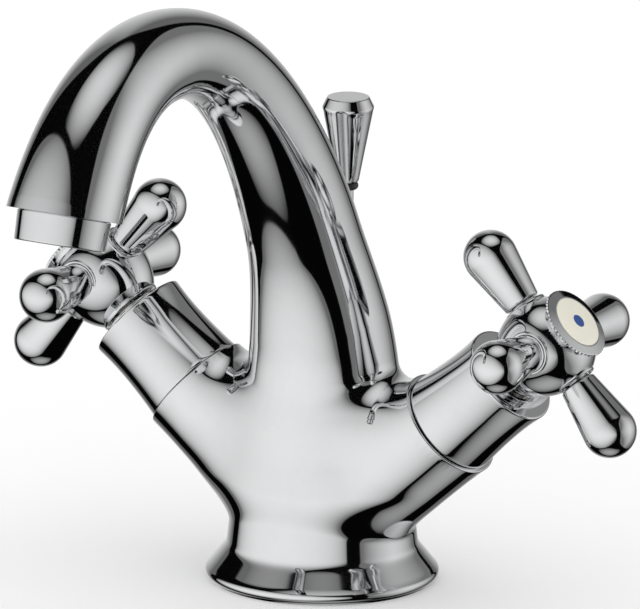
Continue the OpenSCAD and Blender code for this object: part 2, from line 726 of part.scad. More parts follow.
// Index ring: a knurled rim, a bevel and a flat face round the ceramic disc
knurl_t = 0.85;
index_t = 1.1;
index_floor = 0.5;
module index_ring(side) {
    outer_r = index_ring_d / 2;
    disc_r = index_disc_d / 2 + fit;
    color("silver") on_arm(side) {
        at(hub_top) linear_extrude(knurl_t) difference() {
            polygon([for (i = [0:2 * index_grooves - 1])
                (outer_r - (i % 2) * 0.3) * [cos(180 * i / index_grooves), sin(180 * i / index_grooves)]]);
            circle(disc_r + 0.4);
        }
        rotate_extrude() polygon([
            [stem_bore_r - 1.6, stem_bore_s + 0.3],
            [stem_bore_r - fit, stem_bore_s + 0.3],
            [stem_bore_r - fit, hub_top],
            [outer_r - 0.35, hub_top],
            [outer_r - 0.35, hub_top + knurl_t],
            [outer_r - 0.6, hub_top + index_t],
            [disc_r, hub_top + index_t],
            [disc_r, hub_top + index_floor],
            [0, hub_top + index_floor],
            [0, hub_top - 0.6],
            [stem_bore_r - 1.6, hub_top - 0.6]
        ]);
    }
}

module index_disc(side) {
    edge = index_t - index_floor + 0.1;
    color("cornsilk") on_arm(side) at(hub_top + index_floor) rotate_extrude() polygon(concat(
        [[0, 0], [index_disc_d / 2, 0], [index_disc_d / 2, edge]],
        bend([index_disc_d / 2, edge], [index_disc_d / 3, edge + 0.35], [0, edge + 0.35])
    ));
}

body_casting();
base_gasket();
aerator_housing();
aerator_insert();
aerator_screen();
aerator_washer();
lift_rod();
lift_knob();
lift_knob_ring();
lift_rod_guide();
shroud(cold);  // cold_shroud
shroud_washer(cold);  // cold_shroud_washer
shroud_nut(cold);  // cold_shroud_nut
valve_body(cold);  // cold_valve_body
valve_o_ring(cold);  // cold_valve_o_ring
seat_seal(cold);  // cold_seat_seal
fixed_disc(cold);  // cold_fixed_disc
moving_disc(cold);  // cold_moving_disc
spindle(cold);  // cold_spindle
spindle_o_ring(cold);  // cold_spindle_o_ring
spindle_clip(cold);  // cold_spindle_clip
handle_hub(cold);  // cold_handle_hub
handle_levers(cold);  // cold_handle_levers
handle_screw(cold);  // cold_handle_screw
index_ring(cold);  // cold_index_ring
index_disc(cold);  // cold_index_disc
shroud(hot);  // hot_shroud
shroud_washer(hot);  // hot_shroud_washer
shroud_nut(hot);  // hot_shroud_nut
valve_body(hot);  // hot_valve_body
valve_o_ring(hot);  // hot_valve_o_ring
seat_seal(hot);  // hot_seat_seal
fixed_disc(hot);  // hot_fixed_disc
moving_disc(hot);  // hot_moving_disc
spindle(hot);  // hot_spindle
spindle_o_ring(hot);  // hot_spindle_o_ring
spindle_clip(hot);  // hot_spindle_clip
handle_hub(hot);  // hot_handle_hub
handle_levers(hot);  // hot_handle_levers
handle_screw(hot);  // hot_handle_screw
index_ring(hot);  // hot_index_ring
index_disc(hot);  // hot_index_disc
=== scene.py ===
"""Basin mixer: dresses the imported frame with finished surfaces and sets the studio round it."""
import json
import math
import bmesh
import bpy
import numpy as np
from mathutils import Matrix, Vector

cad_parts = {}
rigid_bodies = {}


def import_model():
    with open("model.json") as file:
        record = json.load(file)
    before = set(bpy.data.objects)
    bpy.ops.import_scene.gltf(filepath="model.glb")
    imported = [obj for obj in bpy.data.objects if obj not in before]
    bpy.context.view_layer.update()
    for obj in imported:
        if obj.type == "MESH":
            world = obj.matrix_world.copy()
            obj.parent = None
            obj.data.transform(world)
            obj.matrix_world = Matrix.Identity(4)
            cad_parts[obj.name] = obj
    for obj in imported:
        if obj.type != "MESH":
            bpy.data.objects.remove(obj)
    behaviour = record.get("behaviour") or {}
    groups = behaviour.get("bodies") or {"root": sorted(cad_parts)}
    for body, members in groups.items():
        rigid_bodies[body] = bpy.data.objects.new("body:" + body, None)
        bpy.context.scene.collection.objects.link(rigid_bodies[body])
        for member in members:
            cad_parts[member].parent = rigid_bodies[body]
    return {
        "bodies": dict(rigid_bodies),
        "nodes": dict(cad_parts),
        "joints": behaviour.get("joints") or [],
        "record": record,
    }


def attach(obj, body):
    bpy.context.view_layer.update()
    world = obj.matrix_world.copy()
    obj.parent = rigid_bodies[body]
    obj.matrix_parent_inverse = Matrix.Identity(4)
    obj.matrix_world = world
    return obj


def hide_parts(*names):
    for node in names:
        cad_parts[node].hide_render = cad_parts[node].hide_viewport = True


bl_info = {
    "name": "Basin mixer",
    "version": (1, 0, 0),
    "blender": (4, 5, 0),
    "location": "View3D > Sidebar > Basin mixer",
    "description": "Two-handle basin mixer with a swan-neck spout, and its studio",
    "category": "Add Mesh",
}

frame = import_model()

MM = 0.001
# Cold is on the right, towards +X
SIDES = {"cold": 1, "hot": -1}

# Camera: direction from the object, distance and aim in metres, and the picture's pixels and scale
CAMERA_AZIMUTH = math.radians(30.255)
CAMERA_ELEVATION = math.radians(15.02)
CAMERA_ROLL = math.radians(0.413)
CAMERA_DISTANCE = 6.0
PICTURE_WIDTH = 640
PIXELS_PER_MM = 4.155
AIM_HEIGHT, AIM_LEFT = 0.0677, 0.00096
SENSOR_WIDTH = 36.0

# Body: rays find its skin from a point above the waist, and crowd towards the arms
SKIN_COLUMNS, SKIN_ROWS = 256, 150
CORE_RISE = 5.3
RAY_CROWDING = math.radians(18)
RAY_LIMIT, RAY_STEPS = 78.0, 20
# Spout: share of its length that rises, and the shares at which it turns forward and is narrowest
RISE_SHARE, TURN_F, NECK_F = 0.696, 0.16, 0.59
# Pulls of the spout's control points, as shares of its rise, crown reach and fall
FOOT_PULL, CROWN_PULL, NOSE_PULL, MOUTH_PULL = 0.45, 0.515, 0.624, 0.236
# Share at which the ray-found skin passes over to rings, and the number of rings
SPOUT_START, SPOUT_RINGS = 0.03, 120

# Details in millimetres, from here to the levers
# Rounding of an arm's end edge, and the seam that shows between an arm and its shroud
ARM_EDGE, SEAM = 0.3, 0.25
# Angle on the lip's rounding at which the sloped band begins, in degrees
BAND_ANGLE = 52
# Valve thread in an arm: its depth, and how much narrower the chamber beyond it is
SHANK_DEPTH, CHAMBER_STEP = 11.6, 1.3
# Depth of a supply inlet above the recess
INLET_DEPTH = 9
# Lift rod hole: clearance about the rod, then the wider bore of its guide and how deep that starts
ROD_CLEARANCE, GUIDE_WALL, GUIDE_DEPTH = 0.4, 1.2, 17
# Aerator thread
THREAD_DEPTH, THREAD_PITCH = 0.35, 0.8
# Bore of a shroud's end and its nut, which sit on the valve's neck
SHROUD_BORE = 7.45
# Top of a hub, the bore for the index ring's stem, and the rounding of a boss's rim
HUB_NECK, HUB_STEM_BORE, BOSS_EDGE = 7.6, 6.4, 0.55
# Stem of the index ring, and its lower end's height above the hub's rim
STEM_R, STEM_TIP = 6.35, 14.2
LEVERS = 4


def length(name, description, millimetres):
    return bpy.props.FloatProperty(name=name, description=description, default=millimetres * MM,
                                   min=0.0, precision=5, unit="LENGTH")


def angle(name, description, degrees):
    return bpy.props.FloatProperty(name=name, description=description, default=math.radians(degrees),
                                   subtype="ANGLE", unit="ROTATION")


def colour(name, description, value):
    return bpy.props.FloatVectorProperty(name=name, description=description, default=value,
                                         size=3, min=0.0, max=1.0, subtype="COLOR")


def share(name, description, value):
    return bpy.props.FloatProperty(name=name, description=description, default=value,
                                   min=0.0, max=1.0, subtype="FACTOR")


class MixerSizes(bpy.types.PropertyGroup):
    """Sizes of the mixer, as in the part's source."""
    base_d: length("Base", "Diameter of the base flange at its lip", 56.3)
    lip_r: length("Lip rounding", "Radius of the rounded lip", 1.3)
    lip_z: length("Lip height", "Height of the lip's widest line", 1.9)
    band_d: length("Band", "Diameter at the top of the sloped band", 48.5)
    band_z: length("Band height", "Height of the top of the sloped band", 7.1)
    waist_d: length("Waist", "Diameter at the waist above the band", 45.8)
    waist_z: length("Waist height", "Height of the waist", 10.7)
    recess_d: length("Recess", "Diameter of the recess under the base", 40)
    recess_h: length("Recess depth", "Depth of the recess under the base", 8)
    gasket_w: length("Gasket width", "Width of the rubber base gasket", 3.6)
    gasket_t: length("Gasket thickness", "Thickness of the base gasket", 1.8)
    inlet_pitch: length("Inlet pitch", "Distance between the supply inlets", 21)
    inlet_d: length("Inlet", "Bore of a supply inlet", 9)
    stud_d: length("Stud hole", "Bore of the fixing stud hole", 6.8)
    stud_h: length("Stud hole depth", "Depth of the fixing stud hole", 11)
    arm_angle: angle("Arm angle", "Angle of each arm above the deck", 40.9)
    arm_z: length("Arm crossing", "Height at which the arm axes cross", 12.5)
    arm_l: length("Arm length", "Distance of an arm's end face from the crossing", 47)
    arm_d: length("Arm end", "Diameter of an arm at its end face", 27.9)
    arm_slim_d: length("Arm waist", "Diameter of an arm at its slimmest", 27.4)
    arm_root_d: length("Arm root", "Diameter of an arm at the crossing", 28.6)
    crotch_blend: length("Crotch blend", "Size of the blend between arm and column", 16)
    blend_rise: length("Blend rise", "Height above the waist over which the base blend grows", 15)
    base_blend: length("Base blend", "Size of the blend between arm and base", 13)
    shank_d: length("Valve shank", "Diameter of the valve's threaded shank", 20.6)
    seat_s: length("Valve seat", "Distance of the valve seat from the arm crossing", 21)
    foot_z: length("Column foot height", "Height of the column's foot", 62)
    foot_y: length("Column foot reach", "Forward distance of the column's foot", 1.5)
    foot_d: length("Column foot", "Diameter of the column's foot", 34.4)
    column_d: length("Column", "Diameter of the column where it turns forward", 27.8)
    neck_d: length("Neck", "Diameter of the spout's narrowest part", 21.5)
    mouth_d: length("Mouth", "Diameter of the spout's mouth", 27.8)
    column_lean: angle("Column lean", "Forward lean of the column at its foot", 13)
    crown_y: length("Crown reach", "Forward distance of the spout's highest point", 79.9)
    crown_z: length("Crown height", "Height of the centre line at the crown", 146.3)
    mouth_y: length("Mouth reach", "Forward distance of the mouth's centre", 121.9)
    mouth_z: length("Mouth height", "Height of the mouth's centre", 117.3)
    mouth_lean: angle("Mouth lean", "Angle between the spout's end and the vertical", 28.8)
    mouth_tilt: angle("Mouth tilt", "Angle between the mouth's face and the deck", 17.3)
    thread_d: length("Aerator thread", "Diameter of the aerator's thread", 20)
    thread_l: length("Aerator thread length", "Length of the aerator's thread", 6.4)
    collar_d: length("Aerator collar", "Diameter of the aerator's collar", 22.5)
    collar_l: length("Aerator collar length", "Visible length of the collar", 7.4)
    aerator_washer_t: length("Aerator washer", "Thickness of the aerator washer", 1.6)
    shroud_s: length("Shroud start", "Distance of the shroud from the arm crossing", 47.6)
    shroud_l: length("Shroud length", "Length of a shroud along its arm", 21.4)
    shroud_foot_d: length("Shroud foot", "Diameter of a shroud at the arm", 26)
    shroud_end_d: length("Shroud end", "Diameter of a shroud at its outer end", 25)
    shroud_waist_d: length("Shroud waist", "Diameter of a shroud at its waist", 24.3)
    shroud_wall: length("Shroud wall", "Wall of a shroud at its waist", 1)
    nut_t: length("Shroud nut", "Thickness of the nut that holds a shroud", 1.2)
    hub_gap: length("Hub gap", "Gap between nut and hub", 1)
    spindle_d: length("Spindle", "Diameter of the valve spindle", 8.4)
    handle_d: length("Handle", "Diameter over the tips of opposite levers", 63.9)
    hub_d: length("Hub", "Diameter of a handle's hub", 23.8)
    hub_low_h: length("Hub lower height", "Height from the hub's rim to the levers", 11.8)
    hub_high_h: length("Hub upper height", "Height from the levers to the index ring", 8.9)
    bulb_d: length("Lever bulb", "Diameter of a lever's bulb", 13.1)
    lever_root_d: length("Lever root", "Diameter of a lever at its inner end", 9.2)
    lever_neck_d: length("Lever neck", "Diameter of the neck between lever and hub", 6.4)
    boss_d: length("Lever boss", "Diameter of the boss that carries a lever", 10.8)
    index_ring_d: length("Index ring", "Diameter of the knurled index ring", 18.5)
    index_grooves: bpy.props.IntProperty(
        name="Grooves", description="Grooves around an index ring", default=56)
    index_disc_d: length("Index disc", "Diameter of the ceramic index disc", 13.3)
    dot_d: length("Index dot", "Diameter of the coloured dot on the index disc", 3.4)
    rod_y: length("Lift rod place", "Distance of the lift rod behind the middle", 10.9)
    rod_d: length("Lift rod", "Diameter of the lift rod", 2.9)
    rod_end_z: length("Lift rod end", "Height of the lift rod's lower end", 17)
    knob_z: length("Knob height", "Height of the knob's lower end", 96)
    knob_h: length("Knob length", "Height of the knob", 21)
    knob_d: length("Knob", "Largest diameter of the knob", 12.6)


class MixerLooks(bpy.types.PropertyGroup):
    """Colours and finishes of the mixer."""
    chrome: colour("Chrome", "Reflected colour of the chrome plating", (0.86, 0.865, 0.872))
    chrome_shade: colour("Chrome shade", "Chrome where a film of moisture dried", (0.80, 0.806, 0.815))
    chrome_roughness: share("Chrome roughness", "Roughness of clean chrome", 0.035)
    steel: colour("Steel", "Stainless steel", (0.60, 0.60, 0.59))
    nickel: colour("Nickel", "Thin nickel on the brass valves", (0.62, 0.61, 0.58))
    rubber: colour("Rubber", "Black rubber", (0.022, 0.022, 0.024))
    bead: colour("Bead", "Dark bead under the knob", (0.03, 0.03, 0.033))
    plastic: colour("Plastic", "White acetal", (0.82, 0.82, 0.80))
    valve_ceramic: colour("Valve ceramic", "Polished alumina discs", (0.86, 0.84, 0.79))
    cream: colour("Index ceramic", "Cream glaze of the index disc", (0.84, 0.815, 0.70))
    cold: colour("Cold mark", "Dot on the cold index disc", (0.02, 0.07, 0.28))
    hot: colour("Hot mark", "Dot on the hot index disc", (0.42, 0.02, 0.02))


def sizes():
    """The sizes as millimetres, angles in radians."""
    group = bpy.context.scene.mixer_sizes
    values = {}
    for prop in group.bl_rna.properties:
        if prop.identifier in MixerSizes.__annotations__:
            value = getattr(group, prop.identifier)
            values[prop.identifier] = value / MM if prop.unit == "LENGTH" else value
    return type("Sizes", (), values)


def curve(a, b, c, steps=12):
    """Points of a quadratic curve from a towards b to c."""
    a, b, c = (np.array(p, float) for p in (a, b, c))
    return [tuple((1 - t) ** 2 * a + 2 * t * (1 - t) * b + t * t * c)
            for t in np.linspace(0, 1, steps + 1)]


def flare(a, b, c, steps=20):
    """Points from a to c round the corner b, leaving each end with no curvature."""
    a, b, c = (np.array(p, float) for p in (a, b, c))
    return [tuple((1 - t) ** 3 * a + 3 * t * (1 - t) * b + t ** 3 * c)
            for t in np.linspace(0, 1, steps + 1)]


def arc(r, z, radius, start, end, steps=12):
    """Points of a circular arc, with its angles in degrees."""
    return [(r + radius * math.cos(t), z + radius * math.sin(t))
            for t in np.radians(np.linspace(start, end, steps + 1))]


def eased(corners, steps=4, support=0.12):
    """A closed outline from (r, z, rounding) corners: round corners, with support points beside each."""
    points = [np.array(c[:2], float) for c in corners]
    out = []
    count = len(points)
    for i, corner in enumerate(corners):
        here, before, after = points[i], points[i - 1], points[(i + 1) % count]
        rounding = corner[2] if len(corner) > 2 else 0.0
        if rounding <= 0:
            out.append(tuple(here))
            continue
        to_before, to_after = before - here, after - here
        reach = min(rounding, 0.45 * np.linalg.norm(to_before), 0.45 * np.linalg.norm(to_after))
        to_before /= np.linalg.norm(to_before)
        to_after /= np.linalg.norm(to_after)
        start, end = here + reach * to_before, here + reach * to_after
        out.append(tuple(start + min(support, reach) * 0.5 * to_before))
        out.extend(curve(start, here, end, steps))
        out.append(tuple(end + min(support, reach) * 0.5 * to_after))
    return out


def spun(bm, outline, closed=True, steps=128):
    """Spins an outline of (r, z) points about the Z axis into bm and returns the new vertices."""
    before = set(bm.verts)
    verts = [bm.verts.new((r, 0, z)) for r, z in outline]
    pairs = list(zip(verts, verts[1:])) + ([(verts[-1], verts[0])] if closed else [])
    edges = [bm.edges.new(pair) for pair in pairs]
    bmesh.ops.spin(bm, geom=verts + edges, cent=(0, 0, 0), axis=(0, 0, 1), dvec=(0, 0, 0),
                   angle=2 * math.pi, steps=steps, use_merge=True, use_duplicate=False)
    new = [v for v in bm.verts if v not in before]
    bmesh.ops.remove_doubles(bm, verts=new, dist=1e-4)
    return [v for v in bm.verts if v not in before]


def on_arm(side):
    """Place of an arm's axis, which leaves the crossing along Z."""
    s = sizes()
    return (Matrix.Translation((0, 0, s.arm_z))
            @ Matrix.Rotation(SIDES[side] * (math.pi / 2 - s.arm_angle), 4, "Y"))


def at_mouth():
    """Place of the mouth's face, with the spout above it."""
    s = sizes()
    return Matrix.Translation((0, -s.mouth_y, s.mouth_z)) @ Matrix.Rotation(-s.mouth_tilt, 4, "X")


def on_rod():
    """Place of the lift rod's axis."""
    return Matrix.Translation((0, sizes().rod_y, 0))


def lifted(height):
    return Matrix.Translation((0, 0, height))


def lever_places(middle):
    """Places of a handle's levers, each along its own Z, about the hub's middle."""
    for i in range(LEVERS):
        yield (lifted(middle) @ Matrix.Rotation(2 * math.pi * i / LEVERS, 4, "Z")
               @ Matrix.Rotation(math.pi / 2, 4, "Y"))


def arm_way(s, sign):
    """Direction of an arm's axis."""
    return Vector((sign * math.cos(s.arm_angle), 0, math.sin(s.arm_angle)))


def made(name, bm, place, material, body, replaced, sharp=38.0):
    """Turns bm, in millimetres, into a finished object that rides on a body."""
    bmesh.ops.recalc_face_normals(bm, faces=bm.faces)
    bmesh.ops.transform(bm, matrix=Matrix.Scale(MM, 4) @ place, verts=bm.verts)
    mesh = bpy.data.meshes.new(name)
    bm.to_mesh(mesh)
    bm.free()
    return placed(name, mesh, material, body, replaced, sharp)


def placed(name, mesh, material, body, replaced, sharp):
    """Makes a mesh an object of the part."""
    mesh.shade_smooth()
    mesh.set_sharp_from_angle(angle=math.radians(sharp))
    piece = bpy.data.objects.new(name, mesh)
    bpy.context.scene.collection.objects.link(piece)
    mesh.materials.clear()
    mesh.materials.append(material)
    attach(piece, body)
    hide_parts(*replaced)
    return piece


def combined(bm, tools):
    """The mesh of bm after boolean steps, each an operation name and a bmesh in the same units."""
    def hold(source):
        bmesh.ops.recalc_face_normals(source, faces=source.faces)
        mesh = bpy.data.meshes.new("working")
        source.to_mesh(mesh)
        source.free()
        holder = bpy.data.objects.new("working", mesh)
        bpy.context.scene.collection.objects.link(holder)
        return holder

    base = hold(bm)
    holders = []
    for operation, tool in tools:
        holder = hold(tool)
        holders.append(holder)
        step = base.modifiers.new(operation, "BOOLEAN")
        step.operation = operation
        step.solver = "EXACT"
        step.object = holder
    bpy.context.view_layer.update()
    graph = bpy.context.evaluated_depsgraph_get()
    result = bmesh.new()
    result.from_object(base, graph)
    for holder in [base, *holders]:
        mesh = holder.data
        bpy.data.objects.remove(holder)
        bpy.data.meshes.remove(mesh)
    if not result.faces:
        raise RuntimeError("a boolean step left nothing")
    return result


def rod_tool(radius, low, high, place=None, segments=48):
    """A round cutter or peg along Z between two heights, then put in its place."""
    bm = bmesh.new()
    bmesh.ops.create_cone(bm, cap_ends=True, segments=segments, radius1=radius, radius2=radius,
                          depth=high - low, matrix=Matrix.Translation((0, 0, (low + high) / 2)))
    if place is not None:
        bmesh.ops.transform(bm, matrix=place, verts=bm.verts)
    return bm


class Form:
    """The spout's centre line and radius, and the field whose zero is the body's skin."""

    def __init__(self):
        s = self.s = sizes()
        foot = np.array([0, -s.foot_y, s.foot_z])
        crown = np.array([0, -s.crown_y, s.crown_z])
        mouth = np.array([0, -s.mouth_y, s.mouth_z])
        rise_h, fall_y = s.crown_z - s.foot_z, s.mouth_y - s.crown_y
        lean, end = s.column_lean, s.mouth_lean
        self.rise = [foot, foot + FOOT_PULL * rise_h * np.array([0, -math.sin(lean), math.cos(lean)]),
                     crown + np.array([0, CROWN_PULL * s.crown_y, 0]), crown]
        self.fall = [crown, crown - np.array([0, NOSE_PULL * fall_y, 0]),
                     mouth + MOUTH_PULL * fall_y * np.array([0, math.sin(end), math.cos(end)]), mouth]
        self.start_speed = 3 * FOOT_PULL * rise_h / RISE_SHARE
        self.cone_slope = (s.foot_d - s.waist_d) / 2 / (s.foot_z - s.waist_z)
        self.foot_run = 3 * s.foot_y / math.tan(lean)

    def curve_at(self, f):
        """Share along the rise or the fall, and that curve's control points, for shares f of the spout."""
        f = np.atleast_1d(np.asarray(f, float))
        rising = f < RISE_SHARE
        t = np.where(rising, f / RISE_SHARE, (f - RISE_SHARE) / (1 - RISE_SHARE))[:, None]
        return t, [np.where(rising[:, None], a, b) for a, b in zip(self.rise, self.fall)]

    def point(self, f):
        t, p = self.curve_at(f)
        u = 1 - t
        return u ** 3 * p[0] + 3 * u ** 2 * t * p[1] + 3 * u * t * t * p[2] + t ** 3 * p[3]

    def direction(self, f):
        t, p = self.curve_at(f)
        u = 1 - t
        d = u ** 2 * (p[1] - p[0]) + 2 * u * t * (p[2] - p[1]) + t * t * (p[3] - p[2])
        return d / np.linalg.norm(d, axis=1)[:, None]

    @staticmethod
    def smooth(u, a, b, slope_a, slope_b):
        """A curve from a to b that leaves and arrives with the given slopes."""
        u2, u3 = u * u, u * u * u
        return ((2 * u3 - 3 * u2 + 1) * a + (u3 - 2 * u2 + u) * slope_a
                + (3 * u2 - 2 * u3) * b + (u3 - u2) * slope_b)

    def radius(self, f):
        """Radius of the spout: a slim column that turns forward, a narrower neck and a wider mouth."""
        s = self.s
        f = np.atleast_1d(np.asarray(f, float))
        turn_slope = 1.15 * (s.neck_d - s.column_d) / 2
        span = NECK_F - TURN_F
        start = self.cone_slope * math.cos(s.column_lean) * self.start_speed * TURN_F
        low = self.smooth(f / TURN_F, s.foot_d / 2, s.column_d / 2, start, turn_slope * TURN_F / span)
        mid = self.smooth((f - TURN_F) / span, s.column_d / 2, s.neck_d / 2, turn_slope, 0)
        top = self.smooth((f - NECK_F) / (1 - NECK_F), s.neck_d / 2, s.mouth_d / 2, 0,
                          0.25 * (s.mouth_d - s.neck_d))
        return np.where(f < TURN_F, low, np.where(f < NECK_F, mid, top))

    def axis(self, u):
        """Point, direction and radius on the trunk's axis, u millimetres above the column's foot."""
        s = self.s
        t = np.clip(1 + u / self.foot_run, 0, None)
        below = np.stack([0 * u, -s.foot_y * t ** 3, s.foot_z + u], 1)
        slope = np.stack([0 * u, -3 * s.foot_y * t * t / self.foot_run, 1 + 0 * u], 1)
        slope /= np.linalg.norm(slope, axis=1)[:, None]
        f = np.clip(u / self.start_speed, 0, 0.4)
        is_low = u < 0
        point = np.where(is_low[:, None], below, self.point(f))
        direction = np.where(is_low[:, None], slope, self.direction(f))
        radius = np.where(is_low, s.foot_d / 2 + self.cone_slope * u, self.radius(f))
        return point, direction, radius

    def trunk(self, p):
        """Distance to the tapering trunk, which goes over into the column."""
        u = p[:, 2] - self.s.foot_z
        for _ in range(5):
            point, direction, radius = self.axis(u)
            u = u + np.sum((p - point) * direction, 1)
        point, direction, radius = self.axis(u)
        return np.linalg.norm(p - point, axis=1) - radius

    def arm_radius(self, d):
        """An arm narrows from its root and flares a little to its end face."""
        s = self.s
        slim = 0.81 * s.arm_l
        u, v = d / slim - 1, (d - slim) / (s.arm_l - slim)
        return s.arm_slim_d / 2 + np.where(u < 0, (s.arm_root_d - s.arm_slim_d) / 2 * u * u,
                                           (s.arm_d - s.arm_slim_d) / 2 * v * v)

    def arm(self, p, sign):
        """Distance to an arm."""
        s = self.s
        along = np.array([math.cos(s.arm_angle), 0, math.sin(s.arm_angle)])
        q = p * [sign, 1, 1] - [0, 0, s.arm_z]
        d = q @ along
        side = np.linalg.norm(q - d[:, None] * along, axis=1) - self.arm_radius(np.minimum(d, s.arm_l + 1))
        return np.where(d < 0, np.linalg.norm(q, axis=1) - s.arm_root_d / 2,
                        np.maximum(side, d - s.arm_l - 1))

    @staticmethod
    def blend(a, b, size):
        """The nearer of two distances, with a fillet of a size where they meet."""
        size = np.maximum(size, 1e-6)
        h = np.maximum(size - np.abs(a - b), 0) / size
        return np.minimum(a, b) - h * h * size / 4

    def field(self, p):
        """Distance to the body's skin, negative inside."""
        s = self.s

        def ramp(x, a, b):
            t = np.clip((x - a) / (b - a), 0, 1)
            return t * t * (3 - 2 * t)

        z = p[:, 2]
        tangent = math.tan(s.arm_angle)
        crotch_z = s.arm_z + s.foot_d / 2 * tangent + s.arm_d / 2 / math.cos(s.arm_angle)
        size = ramp(z, s.waist_z, s.waist_z + s.blend_rise) * (1 - ramp(z, crotch_z, s.foot_z)) * (
            s.base_blend + (s.crotch_blend - s.base_blend) * ramp(z, crotch_z - 14, crotch_z - 2))
        arms = self.blend(self.arm(p, 1), self.arm(p, -1), s.base_blend + 0 * z)
        return self.blend(arms, self.trunk(p), size)


def loops_from(bm, edges, rings):
    """Extrudes a boundary ring by ring. rings gives for each step a function from angle index to place."""
    for ring in rings:
        new = bmesh.ops.extrude_edge_only(bm, edges=edges)["geom"]
        edges = [g for g in new if isinstance(g, bmesh.types.BMEdge)]
        for v in [g for g in new if isinstance(g, bmesh.types.BMVert)]:
            v.co = ring(v.co)
    return edges


def cut_ring(bm, point, normal, near=None):
    """Cuts away what lies beyond a plane, only among faces near enough, and returns the opening's edges."""
    faces = [f for f in bm.faces if near is None or all(near(v.co) for v in f.verts)]
    edges = {e for f in faces for e in f.edges}
    verts = {v for f in faces for v in f.verts}
    found = bmesh.ops.bisect_plane(bm, geom=[*verts, *edges, *faces], dist=1e-5,
                                   plane_co=point, plane_no=normal, clear_outer=True)
    return [g for g in found["geom_cut"] if isinstance(g, bmesh.types.BMEdge) and g.is_boundary]


def close_end(bm, edges):
    """Closes an opening with a fan of faces that meet in its middle."""
    verts = list({v for e in edges for v in e.verts})
    middle = sum((v.co for v in verts), Vector()) / len(verts)
    new = bmesh.ops.extrude_edge_only(bm, edges=edges)["geom"]
    for v in [g for g in new if isinstance(g, bmesh.types.BMVert)]:
        v.co = middle
    bmesh.ops.remove_doubles(bm, verts=[g for g in new if isinstance(g, bmesh.types.BMVert)], dist=1e-4)


def rings_about(frames):
    """Rings from (centre, across, over, radius) frames. Each reads a vertex's angle in the frame before."""
    def step(before, here):
        c0, x0, y0, _ = before
        c1, x1, y1, r1 = here

        def place(co):
            d = co - c0
            a = math.atan2(d.dot(y0), d.dot(x0))
            return c1 + float(r1) * (math.cos(a) * x1 + math.sin(a) * y1)
        return place
    return [step(a, b) for a, b in zip(frames, frames[1:])]


def snapped(edges, frame):
    """Puts an opening's vertices exactly on their circle."""
    centre, across, over, radius = frame
    for v in {v for e in edges for v in e.verts}:
        d = v.co - centre
        a = math.atan2(d.dot(over), d.dot(across))
        v.co = centre + float(radius) * (math.cos(a) * across + math.sin(a) * over)


# Sockets of a Mix node: its two colours and their result, and its two plain values
MIX_COLOURS, MIX_COLOUR_OUT, MIX_VALUES = (6, 7), 2, (2, 3)


def fill(tree, socket, value):
    """Puts a plain value on a socket, or links another node's output to it."""
    if isinstance(value, bpy.types.NodeSocket):
        tree.links.new(value, socket)
    else:
        socket.default_value = value


def node(tree, kind, inputs=None, **settings):
    """A new node with its settings, and its inputs by name or number."""
    new = tree.nodes.new(kind)
    for key, value in settings.items():
        setattr(new, key, value)
    for key, value in (inputs or {}).items():
        fill(tree, new.inputs[key], value)
    return new


def math_node(tree, operation, *values, clamp=False):
    new = node(tree, "ShaderNodeMath", operation=operation, use_clamp=clamp)
    for socket, value in zip(new.inputs, values):
        fill(tree, socket, value)
    return new.outputs[0]


def mixed(tree, factor, *colours):
    """Colour between two, each a socket or a plain colour."""
    colours = [c if isinstance(c, bpy.types.NodeSocket) else (*c, 1.0) for c in colours]
    return node(tree, "ShaderNodeMix", {0: factor, **dict(zip(MIX_COLOURS, colours))},
                data_type="RGBA").outputs[MIX_COLOUR_OUT]


def finish_group():
    """Fine variation of a surface: a mask of soft patches, fine grain, and the normal of that grain."""
    group = bpy.data.node_groups.get("surface_finish")
    if group:
        return group
    group = bpy.data.node_groups.new("surface_finish", "ShaderNodeTree")
    face = group.interface
    for name, value, low, high in (("Patch scale", 60.0, 0.0, 5000.0), ("Grain scale", 900.0, 0.0, 20000.0),
                                   ("Grain height", 0.1, 0.0, 1.0), ("Grain depth", 0.00002, 0.0, 0.01)):
        socket = face.new_socket(name, in_out="INPUT", socket_type="NodeSocketFloat")
        socket.default_value, socket.min_value, socket.max_value = value, low, high
    for name, kind in (("Patches", "Float"), ("Grain", "Float"), ("Normal", "Vector")):
        face.new_socket(name, in_out="OUTPUT", socket_type="NodeSocket" + kind)
    given = node(group, "NodeGroupInput").outputs
    place = node(group, "ShaderNodeTexCoord").outputs["Object"]
    patches = node(group, "ShaderNodeTexNoise", {
        "Vector": place, "Scale": given["Patch scale"], "Detail": 5.0, "Roughness": 0.62}).outputs[0]
    grain = node(group, "ShaderNodeTexNoise", {
        "Vector": place, "Scale": given["Grain scale"], "Detail": 3.0}).outputs[0]
    spread = node(group, "ShaderNodeMapRange", {"Value": patches, "From Min": 0.42, "From Max": 0.68})
    bump = node(group, "ShaderNodeBump", {
        "Height": grain, "Strength": given["Grain height"], "Distance": given["Grain depth"]})
    node(group, "NodeGroupOutput", {
        "Patches": spread.outputs[0], "Grain": grain, "Normal": bump.outputs[0]})
    return group


